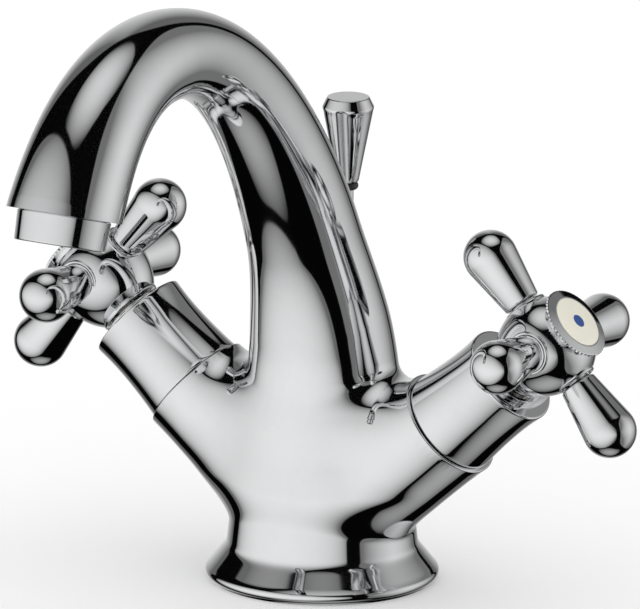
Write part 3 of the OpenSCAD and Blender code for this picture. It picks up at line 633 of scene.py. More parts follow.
def surface(name, main, second, rough, rough_second, metallic=0.0, patch=60.0, grain=900.0, height=0.1,
            depth=0.00002, **fixed):
    """A procedural material: two colours and two roughnesses mixed by patches and grain, with a fine bump."""
    material = bpy.data.materials.get(name)
    if material:
        return material
    material = bpy.data.materials.new(name)
    material.use_nodes = True
    material.diffuse_color = (*main, 1.0)
    tree = material.node_tree
    finish = node(tree, "ShaderNodeGroup", node_tree=finish_group())
    for socket, value in (("Patch scale", patch), ("Grain scale", grain), ("Grain height", height),
                          ("Grain depth", depth)):
        finish.inputs[socket].default_value = value
    # Patches and grain together say how far a place goes towards the second finish
    both = math_node(tree, "MULTIPLY_ADD", finish.outputs["Grain"], 0.35, finish.outputs["Patches"])
    share_out = math_node(tree, "MULTIPLY", both, 0.74, clamp=True)
    rough_map = node(tree, "ShaderNodeMapRange", {
        "Value": share_out, "To Min": rough, "To Max": rough_second})
    values = {"Metallic": metallic, "Base Color": mixed(tree, share_out, main, second),
              "Roughness": rough_map.outputs[0], "Normal": finish.outputs["Normal"]}
    values.update((socket.replace("_", " "), value) for socket, value in fixed.items())
    for socket, value in values.items():
        fill(tree, tree.nodes["Principled BSDF"].inputs[socket], value)
    return material


def chrome():
    look = bpy.context.scene.mixer_looks
    return surface("chrome_plate", look.chrome, look.chrome_shade, look.chrome_roughness,
                   look.chrome_roughness + 0.035, metallic=1.0, patch=38.0, grain=650.0, height=0.02,
                   depth=0.000004)


def darker(value, share_left=0.7):
    return tuple(c * share_left for c in value)


def rubber_finish(look):
    return surface("black_rubber", look.rubber, darker(look.rubber, 0.55), 0.5, 0.7, patch=180.0,
                   grain=2600.0, height=0.35, Specular_IOR_Level=0.35)


def index_glaze(side):
    """Cream glaze with a dot in the middle. The distance from the middle comes with the mesh."""
    look = bpy.context.scene.mixer_looks
    material = surface(f"index_glaze_{side}", look.cream, darker(look.cream, 0.95), 0.08, 0.16, patch=240.0,
                       grain=3000.0, height=0.04, Coat_Weight=0.6, Coat_Roughness=0.04)
    tree = material.node_tree
    shader = tree.nodes["Principled BSDF"]
    cream = shader.inputs["Base Color"].links[0].from_socket
    distance = node(tree, "ShaderNodeAttribute", attribute_name="from_middle").outputs["Fac"]
    dot, blur = bpy.context.scene.mixer_sizes.dot_d / 2, 0.08 * MM
    edge = node(tree, "ShaderNodeMapRange", {
        "Value": distance, "From Min": dot + blur, "From Max": dot - blur}, interpolation_type="SMOOTHSTEP")
    tree.links.new(mixed(tree, edge.outputs[0], cream, getattr(look, side)), shader.inputs["Base Color"])
    return material


class MIXER_OT_body(bpy.types.Operator):
    """Makes the seamless body from the flange over arms and column to the spout's mouth"""
    bl_idname = "mixer.body"
    bl_label = "Body"

    def execute(self, context):
        s, form = sizes(), Form()
        core = np.array([0, 0, s.waist_z + CORE_RISE])
        bm = bmesh.new()
        bmesh.ops.create_uvsphere(bm, u_segments=SKIN_COLUMNS, v_segments=SKIN_ROWS, radius=1.0)
        rays = np.array([v.co for v in bm.verts])
        around = np.arctan2(rays[:, 1], rays[:, 0])
        flat = np.hypot(rays[:, 0], rays[:, 1])
        crowded = around - RAY_CROWDING * np.sin(2 * around)
        rays = np.stack([flat * np.cos(crowded), flat * np.sin(crowded), rays[:, 2]], 1)
        rays /= np.linalg.norm(rays, axis=1)[:, None]
        low, high = np.zeros(len(rays)), np.full(len(rays), RAY_LIMIT)
        for _ in range(RAY_STEPS):
            mid = (low + high) / 2
            inside = form.field(core + rays * mid[:, None]) < 0
            low, high = np.where(inside, mid, low), np.where(inside, high, mid)
        for v, co in zip(bm.verts, core + rays * ((low + high) / 2)[:, None]):
            v.co = co

        # Openings at the waist, at both arms' ends and on the column
        flat_x, flat_y = Vector((1, 0, 0)), Vector((0, 1, 0))
        waist = cut_ring(bm, (0, 0, s.waist_z), (0, 0, -1))
        column = cut_ring(bm, form.point(SPOUT_START)[0], form.direction(SPOUT_START)[0])
        crossing, cut_s = Vector((0, 0, s.arm_z)), s.arm_l - ARM_EDGE
        ends = {}
        for side, sign in SIDES.items():
            along = arm_way(s, sign)

            def near_end(co, along=along):
                d = (co - crossing).dot(along)
                return d > s.arm_l - 9 and (co - crossing - d * along).length < s.arm_d / 2 + 4

            ends[side] = cut_ring(bm, crossing + cut_s * along, along, near_end)

        # Flange: the flare rounds the corner where the trunk's line would meet the band's
        lip, edge = s.base_d / 2 - s.lip_r, math.radians(BAND_ANGLE)
        band_foot = (lip + s.lip_r * math.cos(edge), s.lip_z + s.lip_r * math.sin(edge))
        band_top = (s.band_d / 2, s.band_z)
        band_slope = (band_foot[0] - band_top[0]) / (band_foot[1] - band_top[1])
        corner_z = ((s.waist_d / 2 - form.cone_slope * s.waist_z - band_top[0] + band_slope * band_top[1])
                    / (band_slope - form.cone_slope))
        corner = (band_top[0] + band_slope * (corner_z - band_top[1]), corner_z)
        on_band = (band_top[0] - 0.5 * band_slope, band_top[1] - 0.5)
        # Gasket groove and recess under the base
        groove = (s.recess_d / 2 + s.base_d / 2 - 0.6 * s.lip_r) / 2
        groove_in, groove_out = groove - s.gasket_w / 2, groove + s.gasket_w / 2
        under = eased([(lip, 0, 0), (groove_out, 0, 0.2), (groove_out, s.gasket_t, 0.1),
                       (groove_in, s.gasket_t, 0.1), (groove_in, 0, 0.2), (s.recess_d / 2, 0, 0.3),
                       (s.recess_d / 2, s.recess_h, 0.5), (1.0, s.recess_h, 0)])
        profile = (flare((s.waist_d / 2, s.waist_z), corner, on_band)
                   + curve(on_band, tuple(np.add(on_band, band_foot) / 2), band_foot, 4)[1:]
                   + arc(lip, s.lip_z, s.lip_r, 44, -70, 14) + under)
        frames = [(Vector((0, 0, z)), flat_x, flat_y, r) for r, z in profile]
        snapped(waist, frames[0])
        close_end(bm, loops_from(bm, waist, rings_about(frames)))

        # Arms: rounded end, thread for the valve, chamber down to its seat
        bore, chamber, end_r = s.shank_d / 2 + 0.05, s.shank_d / 2 - CHAMBER_STEP, s.arm_d / 2
        shank_s = s.arm_l - SHANK_DEPTH
        line = [(end_r, cut_s)]
        line += [(end_r - ARM_EDGE + r, cut_s + d) for r, d in arc(0, 0, ARM_EDGE, 15, 90, 5)]
        line += [(end_r - 2 * ARM_EDGE, s.arm_l), (bore + 0.3, s.arm_l), (bore, s.arm_l - 0.3),
                 (bore, shank_s), (chamber, shank_s), (chamber, s.seat_s), (1.0, s.seat_s)]
        for side, sign in SIDES.items():
            along = arm_way(s, sign)
            frames = [(crossing + d * along, flat_y, along.cross(flat_y), r) for r, d in line]
            snapped(ends[side], frames[0])
            close_end(bm, loops_from(bm, ends[side], rings_about(frames)))

        # Spout up to the mouth's tilted plane, its rounded rim and the thread inside
        steps = np.linspace(SPOUT_START, 1.0, SPOUT_RINGS)
        points, ways, radii = form.point(steps), form.direction(steps), form.radius(steps)
        frames = [(Vector(p), flat_x, Vector((0, -d[2], d[1])), r) for p, d, r in zip(points, ways, radii)]
        snapped(column, frames[0])
        rim = loops_from(bm, column, rings_about(frames))
        mouth = Vector((0, -s.mouth_y, s.mouth_z))
        face_up = Vector((0, math.sin(s.mouth_tilt), math.cos(s.mouth_tilt)))
        way = Vector(ways[-1])
        # The last ring moves on past the mouth's plane, then that plane cuts it
        reach = 9.0
        rim = loops_from(bm, rim, [lambda co: co + way * reach])
        cut = cut_ring(bm, mouth, -face_up, lambda co: co.y < 20 - s.mouth_y and co.z < s.mouth_z + 12)

        def inner(depth, radius=None, inset=0.0):
            """Places a rim's point on a circle in the mouth, or inset from the rim that it has."""
            centre = mouth + depth * face_up

            def place(co):
                d = co - mouth
                d -= d.dot(face_up) * face_up
                return centre + d.normalized() * (d.length - inset if radius is None else radius)
            return place

        thread, thread_end = s.thread_d / 2 + 0.05, s.thread_l + s.aerator_washer_t
        rim_steps = [inner(0.0, inset=0.3), inner(0.0, inset=1.2), inner(0.0, thread + 0.3),
                     inner(0.3, thread), inner(thread_end, thread), inner(thread_end, 1.0)]
        close_end(bm, loops_from(bm, cut, rim_steps))
        bmesh.ops.remove_doubles(bm, verts=bm.verts, dist=1e-4)

        # Holes for the stud, the inlets, the lift rod and its guide, each from just inside the recess
        low = s.recess_h - 1
        holes = [rod_tool(s.stud_d / 2, low, s.recess_h + s.stud_h)]
        holes += [rod_tool(s.inlet_d / 2, low, s.recess_h + INLET_DEPTH,
                           Matrix.Translation((sign * s.inlet_pitch / 2, 0, 0))) for sign in SIDES.values()]
        holes += [rod_tool(s.rod_d / 2 + ROD_CLEARANCE, low, s.foot_z, on_rod()),
                  rod_tool(s.rod_d / 2 + GUIDE_WALL, s.foot_z - GUIDE_DEPTH, s.foot_z + 60, on_rod(), 96)]
        made("faucet_body", combined(bm, [("DIFFERENCE", hole) for hole in holes]), Matrix.Identity(4),
             chrome(), "body", ["body_casting"])
        return {"FINISHED"}


class MIXER_OT_aerator(bpy.types.Operator):
    """Makes the aerator's collar with its thread"""
    bl_idname = "mixer.aerator"
    bl_label = "Aerator collar"

    def execute(self, context):
        s = sizes()
        collar, crest = s.collar_d / 2, s.thread_d / 2
        inner, root = crest - 0.8, crest - THREAD_DEPTH
        lip = inner - 0.6
        thread = []
        for i in range(int((s.thread_l - THREAD_PITCH) / THREAD_PITCH)):
            z = THREAD_PITCH + i * THREAD_PITCH
            thread += [(crest, z, 0.08), (root, z + THREAD_PITCH / 2, 0.08)]
        outline = eased([
            (lip, -s.collar_l, 0.15), (collar - 0.3, -s.collar_l, 0.45), (collar, -0.3, 0.15),
            (collar - 0.3, 0, 0.1), (root, 0, 0.1), (root, 0.5, 0.05), *thread, (root, s.thread_l, 0.1),
            (inner, s.thread_l, 0.1), (inner, 1 - s.collar_l, 0.0), (lip, 1 - s.collar_l, 0.1)])
        bm = bmesh.new()
        spun(bm, outline)
        made("aerator_collar", bm, at_mouth(), chrome(), "body", ["aerator_housing"])
        return {"FINISHED"}


class MIXER_OT_shrouds(bpy.types.Operator):
    """Makes the shrouds over the valves, the nuts that hold them and the rubber washers under them"""
    bl_idname = "mixer.shrouds"
    bl_label = "Shrouds, nuts and washers"

    def execute(self, context):
        s = sizes()
        foot, end, slim = s.shroud_foot_d / 2, s.shroud_end_d / 2, s.shroud_waist_d / 2
        tall, bore, neck = s.shroud_l, slim - s.shroud_wall, SHROUD_BORE
        waist_low, waist_high, under_end = 0.36 * tall, 0.66 * tall, tall - 1.6
        # A lip hides the rubber washer and leaves a fine seam above the arm
        gap = s.shroud_s - s.arm_l
        lip = gap - SEAM
        outer = ([(foot - 0.6, 0), (foot - 0.6, 0.1 - lip)]
                 + curve((foot - 0.5, -lip), (foot, -lip), (foot - 0.01, 0.25 - lip), 4)
                 + curve((foot - 0.03, 0.3), (slim, waist_low), (slim, waist_high), 24)
                 + curve((slim, waist_high), (slim, 0.8 * tall), (end, tall - 0.5), 12)[1:]
                 + curve((end, tall - 0.5), (end + 0.02, tall), (end - 0.5, tall), 5)[1:])
        inner = ([(end - 0.6, tall), (neck + 0.3, tall), (neck, tall - 0.3), (neck, under_end),
                  (bore, under_end)]
                 + curve((bore, waist_high), (bore, waist_low), (foot - s.shroud_wall, 0), 12))
        nut_r = neck + 1.45
        nut = eased([(neck, 0, 0.1), (nut_r, 0, 0.15), (nut_r, s.nut_t, 0.35), (neck, s.nut_t, 0.15)])
        seal_in, seal_out = s.shank_d / 2 + 0.1, foot - 0.7
        seal = eased([(seal_in, 0, 0.1), (seal_out, 0, 0.2), (seal_out, gap, 0.2), (seal_in, gap, 0.1)])
        rubber = rubber_finish(context.scene.mixer_looks)
        for side in SIDES:
            for piece, outline, station, material, slot, replaced in (
                    ("shroud_shell", outer + inner, s.shroud_s, chrome(), "chrome", "shroud"),
                    ("nut_ring", nut, s.shroud_s + tall, chrome(), "chrome", "shroud_nut"),
                    ("shroud_seal", seal, s.arm_l, rubber, "black_rubber", "shroud_washer")):
                bm = bmesh.new()
                spun(bm, outline)
                made(f"{side}_{piece}", bm, on_arm(side) @ lifted(station), material, "body",
                     [f"{side}_{replaced}"])
        return {"FINISHED"}


def hub_stations(s):
    """Stations along the arm of a hub's rim, its levers and its top."""
    start = s.shroud_s + s.shroud_l + s.nut_t + s.hub_gap
    return start, start + s.hub_low_h, start + s.hub_low_h + s.hub_high_h


class MIXER_OT_hubs(bpy.types.Operator):
    """Makes the rounded handle hubs with four bosses for the levers"""
    bl_idname = "mixer.hubs"
    bl_label = "Handle hubs"

    def execute(self, context):
        s = sizes()
        start, middle, top = hub_stations(s)
        hub = s.hub_d / 2
        # Half-heights of the two half ellipses of the outline, and the angles at which they are cut
        low_e, high_e = 1.24 * s.hub_low_h, 1.12 * s.hub_high_h
        low_a, high_a = math.acos((s.hub_low_h - 0.9) / low_e), math.asin(HUB_NECK / hub)
        skin = [(hub * math.sin(a), middle - low_e * math.cos(a))
                for a in np.linspace(low_a, math.pi / 2, 30)]
        skin += [(hub * math.sin(a), middle - high_e * math.cos(a))
                 for a in np.linspace(math.pi / 2, math.pi - high_a, 24)][1:]
        # Inside: the index ring's stem, the screw's seat, the socket for the spline and the spindle's bore
        socket = start + 1.2
        web, seat = socket + 7.2, socket + 7.2 + 2.5
        bore = s.spindle_d / 2 + 0.4
        inside = [(HUB_NECK, top), (HUB_STEM_BORE, top), (HUB_STEM_BORE, seat + 3), (4.4, seat + 3),
                  (4.4, seat), (2.1, seat), (2.1, web), (3.95, web), (3.95, socket), (bore, socket),
                  (bore, start)]
        rim = [(7.55, start), (7.72, start + 0.03), (7.9, start + 0.14), (8.0, start + 0.32),
               (7.98, start + 0.6)]
        # Bosses, each with a rounded rim about a dish and a hole for the lever's peg
        boss_r, boss_top = s.boss_d / 2, hub - 0.8
        dish = boss_top - 0.6
        boss = ([(0, hub - 5.5), (boss_r, hub - 5.5), (boss_r, dish)]
                + arc(boss_r - BOSS_EDGE, boss_top - BOSS_EDGE, BOSS_EDGE, 0, 150, 10)
                + curve((boss_r - 1.03, boss_top - BOSS_EDGE / 2), (boss_r - 1.25, dish),
                        (boss_r - 1.6, dish), 5)[1:] + [(0, dish)])
        for side in SIDES:
            bm = bmesh.new()
            spun(bm, skin + inside + rim)
            tools = []
            for turn in lever_places(middle):
                peg = bmesh.new()
                spun(peg, boss, closed=False, steps=96)
                bmesh.ops.transform(peg, matrix=turn, verts=peg.verts)
                tools.append(("UNION", peg))
            for turn in lever_places(middle):
                tools.append(("DIFFERENCE", rod_tool(boss_r - 1.3, dish, hub + 2, turn, 96)))
                tools.append(("DIFFERENCE", rod_tool(2.0, hub - 4.9, hub + 2, turn)))
            made(f"{side}_hub_shell", combined(bm, tools), on_arm(side), chrome(), f"{side}_handle",
                 [f"{side}_handle_hub"])
        return {"FINISHED"}


class MIXER_OT_levers(bpy.types.Operator):
    """Makes the four levers of each handle"""
    bl_idname = "mixer.levers"
    bl_label = "Levers"

    def execute(self, context):
        s = sizes()
        middle = hub_stations(s)[1]
        hub, root, slim, bulb = s.hub_d / 2, s.lever_root_d / 2, s.lever_neck_d / 2, s.bulb_d / 2
        seat, begin, bulb_at = hub - 1.4, hub - 0.2, s.handle_d / 2 - bulb
        # The straight side leaves the rounded root and meets the bulb without a step
        run = bulb_at - begin
        taper = math.degrees(math.atan2(run, root) - math.acos(bulb / math.hypot(run, root)))
        round_r = 0.6
        root_arc = arc(root - round_r, begin + round_r, round_r, -90, -taper, 10)
        bulb_arc = arc(0, bulb_at, bulb, -taper, 90, 48)
        side_from, side_to = np.array(root_arc[-1]), np.array(bulb_arc[0])
        side_line = [tuple(side_from + t * (side_to - side_from)) for t in (0.03, 0.25, 0.5, 0.75, 0.97)]
        outline = ([(0, hub - 4.7), (1.7, hub - 4.7), (1.95, hub - 4.4), (1.95, seat), (slim + 0.35, seat),
                    (slim + 0.1, seat + 0.12), (slim, seat + 0.35), (slim, begin - 0.3),
                    (slim + 0.08, begin - 0.08), (slim + 0.3, begin)] + root_arc + side_line + bulb_arc)
        for side in SIDES:
            bm = bmesh.new()
            for turn in lever_places(middle):
                new = spun(bm, outline, closed=False, steps=96)
                bmesh.ops.transform(bm, verts=new, matrix=turn)
            made(f"{side}_lever_set", bm, on_arm(side), chrome(), f"{side}_handle",
                 [f"{side}_handle_levers"])
        return {"FINISHED"}


class MIXER_OT_index_caps(bpy.types.Operator):
    """Makes the knurled index rings and the domed ceramic discs, each with a generic coloured dot"""
    bl_idname = "mixer.index_caps"
    bl_label = "Index rings and discs"

    def execute(self, context):
        s = sizes()
        hub_top, floor = hub_stations(s)[2], 0.5
        r, edge = s.index_disc_d / 2, 0.7
        dome = edge + 0.35
        disc = ([(0, 0), (r - 0.1, 0), (r, 0.1), (r, edge - 0.12)]
                + curve((r, edge - 0.12), (r, edge + 0.05), (r - 0.4, edge + 0.1), 5)[1:]
                + curve((r - 0.4, edge + 0.1), (r / 1.7, dome), (0, dome), 24)[1:])
        rim, grooves, rim_top = s.index_ring_d / 2, s.index_grooves, 1.08
        groove_depth = 0.3
        stem_in, stem_end = STEM_R - 1.6, STEM_TIP - s.hub_low_h - s.hub_high_h
        ring = eased([(rim, 0.04, 0), (rim, 0.56, 0), (rim - 0.3, 0.68, 0.1), (r + 0.35, rim_top, 0.15),
                      (r + 0.06, rim_top, 0.08), (r + 0.06, floor, 0), (1.0, floor, 0), (1.0, -0.6, 0),
                      (stem_in, -0.6, 0.1), (stem_in, stem_end, 0.1), (STEM_R, stem_end, 0.2), (STEM_R, 0, 0),
                      (rim - 0.35, 0, 0.05)])
        for side in SIDES:
            bm = bmesh.new()
            spun(bm, ring, steps=8 * grooves)
            for v in bm.verts:
                # Grooves of the knurled edge
                if math.hypot(v.co.x, v.co.y) > rim - 0.05:
                    wave = 0.5 - 0.5 * math.cos(grooves * math.atan2(v.co.y, v.co.x))
                    v.co.xy *= 1 - groove_depth * wave ** 0.6 / rim
            made(f"{side}_index_ring_knurled", bm, on_arm(side) @ lifted(hub_top), chrome(),
                 f"{side}_handle", [f"{side}_index_ring"])
            bm = bmesh.new()
            spun(bm, disc, closed=False)
            # The glaze reads a point's distance from the middle, in metres
            layer = bm.verts.layers.float.new("from_middle")
            for v in bm.verts:
                v[layer] = math.hypot(v.co.x, v.co.y) * MM
            made(f"{side}_index_cap", bm, on_arm(side) @ lifted(hub_top + floor), index_glaze(side),
                 f"{side}_handle", [f"{side}_index_disc"])
        return {"FINISHED"}


class MIXER_OT_lift_rod(bpy.types.Operator):
    """Makes the lift rod, its knob and the dark bead under the knob"""
    bl_idname = "mixer.lift_rod"
    bl_label = "Lift rod"

    def execute(self, context):
        s = sizes()
        rod, knob, h = s.rod_d / 2, s.knob_d / 2, s.knob_h
        low, socket = s.rod_end_z, 0.4 * h
        high = s.knob_z + socket
        bm = bmesh.new()
        spun(bm, [(0, low), (rod - 0.3, low), (rod, low + 0.3), (rod, low + 0.5), (rod, high - 0.5),
                  (rod, high - 0.3), (rod - 0.3, high), (0, high)], closed=False, steps=64)
        made("lift_rod_shaft", bm, on_rod(), chrome(), "lift_rod", ["lift_rod"])

        # The knob widens from its foot to a rounded shoulder, then a chamfer leads to its flat top
        foot_top, cone_top = (0.43 * knob, 0.4), (0.965 * knob, h - 3.2)
        shoulder, chamfer_top = (0.97 * knob, h - 2.1), (0.83 * knob, h - 0.3)
        outline = ([(rod + 0.05, 0), (0.36 * knob, 0), (0.40 * knob, 0.08), foot_top]
                   + curve(foot_top, (0.69 * knob, 0.43 * h), cone_top, 20)[1:]
                   + curve(cone_top, (knob + 0.04, h - 2.5), shoulder, 8)[1:]
                   + curve(shoulder, (0.90 * knob, h - 1.2), chamfer_top, 4)[1:]
                   + curve(chamfer_top, (0.81 * knob, h), (0.78 * knob, h), 5)[1:]
                   + [(0.74 * knob, h), (0, h), (0, socket + 0.1), (rod + 0.05, socket + 0.1)])
        bm = bmesh.new()
        spun(bm, outline)
        made("lift_knob_shell", bm, on_rod() @ lifted(s.knob_z), chrome(), "lift_rod",
             ["lift_knob"])

        look, bead_r, bore = context.scene.mixer_looks, 1, rod + 0.05
        bm = bmesh.new()
        spun(bm, [(bore, 0)] + arc(rod + 0.15, bead_r, bead_r, -60, 60, 18) + [(bore, 2 * bead_r)], steps=64)
        made("lift_knob_bead", bm, on_rod() @ lifted(s.knob_z - 2 * bead_r),
             surface("bead_rubber", look.bead, darker(look.bead), 0.3, 0.45, patch=300.0, grain=4000.0),
             "lift_rod", ["lift_knob_ring"])
        return {"FINISHED"}


class MIXER_OT_inner_finishes(bpy.types.Operator):
    """Gives each node that is carried over from the frame its finish"""
    bl_idname = "mixer.inner_finishes"
    bl_label = "Inner finishes"

    def execute(self, context):
        look = context.scene.mixer_looks
        rubber = rubber_finish(look)
        nickel = surface("nickel_plate", look.nickel, darker(look.nickel, 0.8), 0.12, 0.24, metallic=1.0,
                         patch=150.0, grain=2200.0, height=0.08)
        steel = surface("stainless_steel", look.steel, darker(look.steel, 0.8), 0.18, 0.32, metallic=1.0,
                        patch=150.0, grain=2600.0, height=0.12)
        mesh = surface("screen_steel", look.steel, darker(look.steel, 0.6), 0.24, 0.4, metallic=1.0,
                       patch=400.0, grain=5000.0, height=0.2)
        plastic = surface("white_acetal", look.plastic, darker(look.plastic, 0.93), 0.3, 0.42, patch=160.0,
                          grain=2600.0, height=0.1, Subsurface_Weight=0.05)
        ceramic = surface("valve_ceramic", look.valve_ceramic, darker(look.valve_ceramic, 0.94), 0.12, 0.2,
                          patch=260.0, grain=3200.0, height=0.04)
        finishes = {
            "base_gasket": rubber, "aerator_washer": rubber, "lift_rod_guide": plastic,
            "aerator_insert": plastic, "aerator_screen": mesh, "valve_body": nickel, "valve_o_ring": rubber,
            "seat_seal": rubber, "fixed_disc": ceramic, "moving_disc": ceramic, "spindle": nickel,
            "spindle_o_ring": rubber, "spindle_clip": steel, "handle_screw": steel,
        }
        for name, piece in frame["nodes"].items():
            kind = name.removeprefix("cold_").removeprefix("hot_")
            if kind in finishes:
                piece.data.materials.clear()
                piece.data.materials.append(finishes[kind])
        return {"FINISHED"}


class MIXER_OT_studio(bpy.types.Operator):
    """Makes the pale floor, the studio's light and the camera"""
    bl_idname = "mixer.studio"
    bl_label = "Studio"

    def execute(self, context):
        scene = context.scene
        bm = bmesh.new()
        bmesh.ops.create_grid(bm, x_segments=40, y_segments=40, size=6.0)
        mesh = bpy.data.meshes.new("floor")
        bm.to_mesh(mesh)
        bm.free()
        floor = bpy.data.objects.new("studio_floor", mesh)
        scene.collection.objects.link(floor)
        floor.visible_glossy = False
        mesh.materials.append(floor_material())
        scene.world = studio_world()
        scene.view_settings.view_transform = "Standard"

        camera = bpy.data.objects.new("camera", bpy.data.cameras.new("camera"))
        scene.collection.objects.link(camera)
        scene.camera = camera
        back = Vector((math.cos(CAMERA_ELEVATION) * math.sin(CAMERA_AZIMUTH),
                       -math.cos(CAMERA_ELEVATION) * math.cos(CAMERA_AZIMUTH), math.sin(CAMERA_ELEVATION)))
        right = Vector((math.cos(CAMERA_AZIMUTH), math.sin(CAMERA_AZIMUTH), 0))
        span = PICTURE_WIDTH / PIXELS_PER_MM * MM
        centre = Vector((0, 0, AIM_HEIGHT)) - right * AIM_LEFT
        camera.location = centre + CAMERA_DISTANCE * back
        camera.rotation_mode = "QUATERNION"
        turn = Matrix.Rotation(CAMERA_ROLL, 4, "Z").to_quaternion()
        camera.rotation_quaternion = (-back).to_track_quat("-Z", "Y") @ turn
        lens = camera.data
        lens.sensor_width = SENSOR_WIDTH
        lens.lens = SENSOR_WIDTH * CAMERA_DISTANCE / span
        lens.clip_start, lens.clip_end = 0.1, 60.0
        return {"FINISHED"}


def floor_material():
    """Pale, nearly matt floor with a weak glow, which no diffuse ray sees."""
    material = bpy.data.materials.new("studio_floor")
    material.use_nodes = True
    tree = material.node_tree
    place = node(tree, "ShaderNodeTexCoord").outputs["Object"]
    noise = node(tree, "ShaderNodeTexNoise", {"Vector": place, "Scale": 3.0}).outputs[0]
    path = node(tree, "ShaderNodeLightPath").outputs
    seen = math_node(tree, "ADD", path["Is Camera Ray"], path["Is Glossy Ray"])
    seen = math_node(tree, "ADD", seen, path["Is Transmission Ray"], clamp=True)
    for socket, value in {
        "Base Color": mixed(tree, noise, (0.93, 0.93, 0.93), (0.95, 0.95, 0.95)), "Roughness": 0.9,
        "Specular IOR Level": 0.1, "Emission Color": (1, 1, 1, 1),
        "Emission Strength": math_node(tree, "MULTIPLY", seen, 0.08),
    }.items():
        fill(tree, tree.nodes["Principled BSDF"].inputs[socket], value)
    return material


# Walls of soft light: azimuth of the wall from the camera's direction in degrees, growing to the camera's
# right; half width, middle height and half height on a wall one unit away; strength in the middle and at the
# edge; how the strength falls sideways and upwards, as exponents
WALLS = (
    (-48, 4.5, -0.15, 1.73, 1.16, 0.145, 0.95, 1.13),
    (95.5, 1.17, 0.064, 1.285, 1.13, 0.175, 0.98, 0.60),
    (185, 0.714, -0.08, 1.26, 1.10, 0.134, 0.845, 0.65),
)
# Ceiling and floor panel: half width one unit away, strength in the middle and at the edge, and the exponent
CEILING = (0.55, 0.76, 0.05, 2.0)
BELOW = (0.45, 0.42, 0.06, 2.0)
ROOM_LEVEL = 0.0015
# A panel shows only to directions that face it by more than this
LEAST_FRONT = 0.02


def soft_panel(tree, across, up, strength, edge_strength, fall_across, fall_up):
    """Brightness of a round-cornered panel from coordinates that reach 1 at its edges."""
    def power(value, exponent, soft=0.0):
        square = math_node(tree, "ADD", math_node(tree, "MULTIPLY", value, value), soft)
        return math_node(tree, "POWER", square, exponent / 2)

    away = math_node(tree, "ADD", power(across, 4.0), power(up, 4.0))
    edge = node(tree, "ShaderNodeMapRange", {"Value": away, "From Min": 1.06, "From Max": 0.84},
                interpolation_type="SMOOTHSTEP")
    # The softening keeps a kink out of the middle
    middle = math_node(tree, "ADD", power(across, fall_across, 0.03), power(up, fall_up, 0.03))
    fall = node(tree, "ShaderNodeMapRange", {
        "Value": middle, "From Max": 1.3, "To Min": strength, "To Max": edge_strength})
    return math_node(tree, "MULTIPLY", edge.outputs[0], fall.outputs[0])


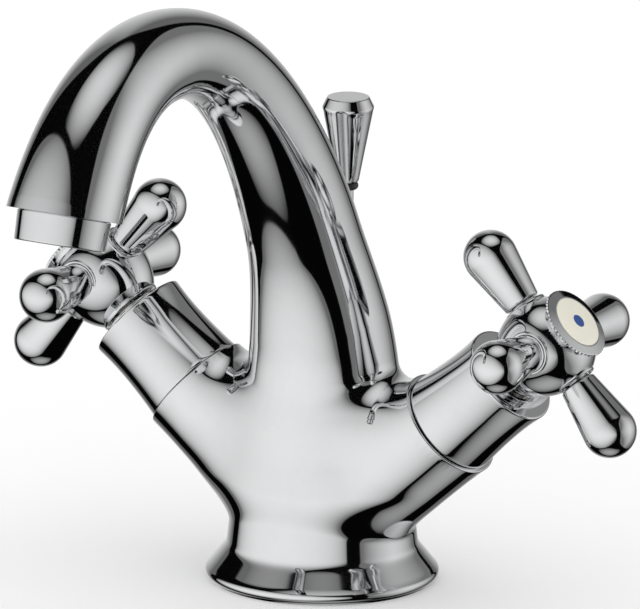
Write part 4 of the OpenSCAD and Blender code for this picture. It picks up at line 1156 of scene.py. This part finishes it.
def studio_world():
    """White to the camera and to plain surfaces, while metal sees large soft panels with dark gaps."""
    world = bpy.data.worlds.new("studio")
    world.use_nodes = True
    tree = world.node_tree
    tree.nodes.clear()
    place = node(tree, "ShaderNodeTexCoord").outputs["Generated"]
    x, y, z = node(tree, "ShaderNodeSeparateXYZ", {0: place}).outputs

    def times(a, b):
        return math_node(tree, "MULTIPLY", a, b)

    def over(a, b):
        return math_node(tree, "DIVIDE", a, b)

    def larger(a, b):
        return math_node(tree, "MAXIMUM", a, b)

    def along(vx, vy):
        return math_node(tree, "ADD", times(x, vx), times(y, vy))

    def lit_where(front, value):
        return times(math_node(tree, "GREATER_THAN", front, LEAST_FRONT), value)

    def ways(azimuth):
        """Sideways and forward direction of a wall. World azimuth 0 looks along -Y and grows towards +X."""
        turn = CAMERA_AZIMUTH + math.radians(azimuth)
        return (math.cos(turn), math.sin(turn)), (math.sin(turn), -math.cos(turn))

    panels = []
    for azimuth, half_w, middle, half_h, *light in WALLS:
        sideways, forward = ways(azimuth)
        front = along(*forward)
        near = larger(front, LEAST_FRONT)
        across = over(over(along(*sideways), near), half_w)
        up = over(math_node(tree, "SUBTRACT", over(z, near), middle), half_h)
        panels.append(lit_where(front, soft_panel(tree, across, up, *light)))
    for sign, (half, *light, fall) in ((1.0, CEILING), (-1.0, BELOW)):
        front = times(z, sign)
        near = larger(front, LEAST_FRONT)
        across, up = (over(over(along(*way), near), half) for way in ways(WALLS[0][0]))
        panels.append(lit_where(front, soft_panel(tree, across, up, *light, fall, fall)))
    total = panels[0]
    for panel in panels[1:]:
        total = larger(total, panel)
    room = math_node(tree, "ADD", total, ROOM_LEVEL)
    glossy = node(tree, "ShaderNodeLightPath").outputs["Is Glossy Ray"]
    shown = node(tree, "ShaderNodeMix", {0: glossy, **dict(zip(MIX_VALUES, (1.0, room)))},
                 data_type="FLOAT")
    background = node(tree, "ShaderNodeBackground", {"Color": (1, 1, 1, 1), "Strength": shown.outputs[0]})
    node(tree, "ShaderNodeOutputWorld", {0: background.outputs[0]})
    return world


class MIXER_PT_panel(bpy.types.Panel):
    """Sizes, looks and steps of the mixer"""
    bl_idname = "MIXER_PT_panel"
    bl_label = "Basin mixer"
    bl_space_type = "VIEW_3D"
    bl_region_type = "UI"
    bl_category = "Basin mixer"

    def draw(self, context):
        layout = self.layout
        for operator in STEPS:
            layout.operator(operator.bl_idname)
        for title, group in (("Sizes", context.scene.mixer_sizes), ("Looks", context.scene.mixer_looks)):
            box = layout.box()
            box.label(text=title)
            for name in type(group).__annotations__:
                box.prop(group, name)


STEPS = (MIXER_OT_body, MIXER_OT_aerator, MIXER_OT_shrouds, MIXER_OT_hubs, MIXER_OT_levers,
         MIXER_OT_index_caps, MIXER_OT_lift_rod, MIXER_OT_inner_finishes, MIXER_OT_studio)
CLASSES = (MixerSizes, MixerLooks, *STEPS, MIXER_PT_panel)


def register():
    for cls in CLASSES:
        bpy.utils.register_class(cls)
    bpy.types.Scene.mixer_sizes = bpy.props.PointerProperty(type=MixerSizes)
    bpy.types.Scene.mixer_looks = bpy.props.PointerProperty(type=MixerLooks)


def unregister():
    del bpy.types.Scene.mixer_looks
    del bpy.types.Scene.mixer_sizes
    for cls in reversed(CLASSES):
        bpy.utils.unregister_class(cls)


def main():
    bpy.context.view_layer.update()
    register()
    for step in STEPS:
        group, name = step.bl_idname.split(".")
        getattr(getattr(bpy.ops, group), name)()
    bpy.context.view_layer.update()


if __name__ == "__main__":
    main()
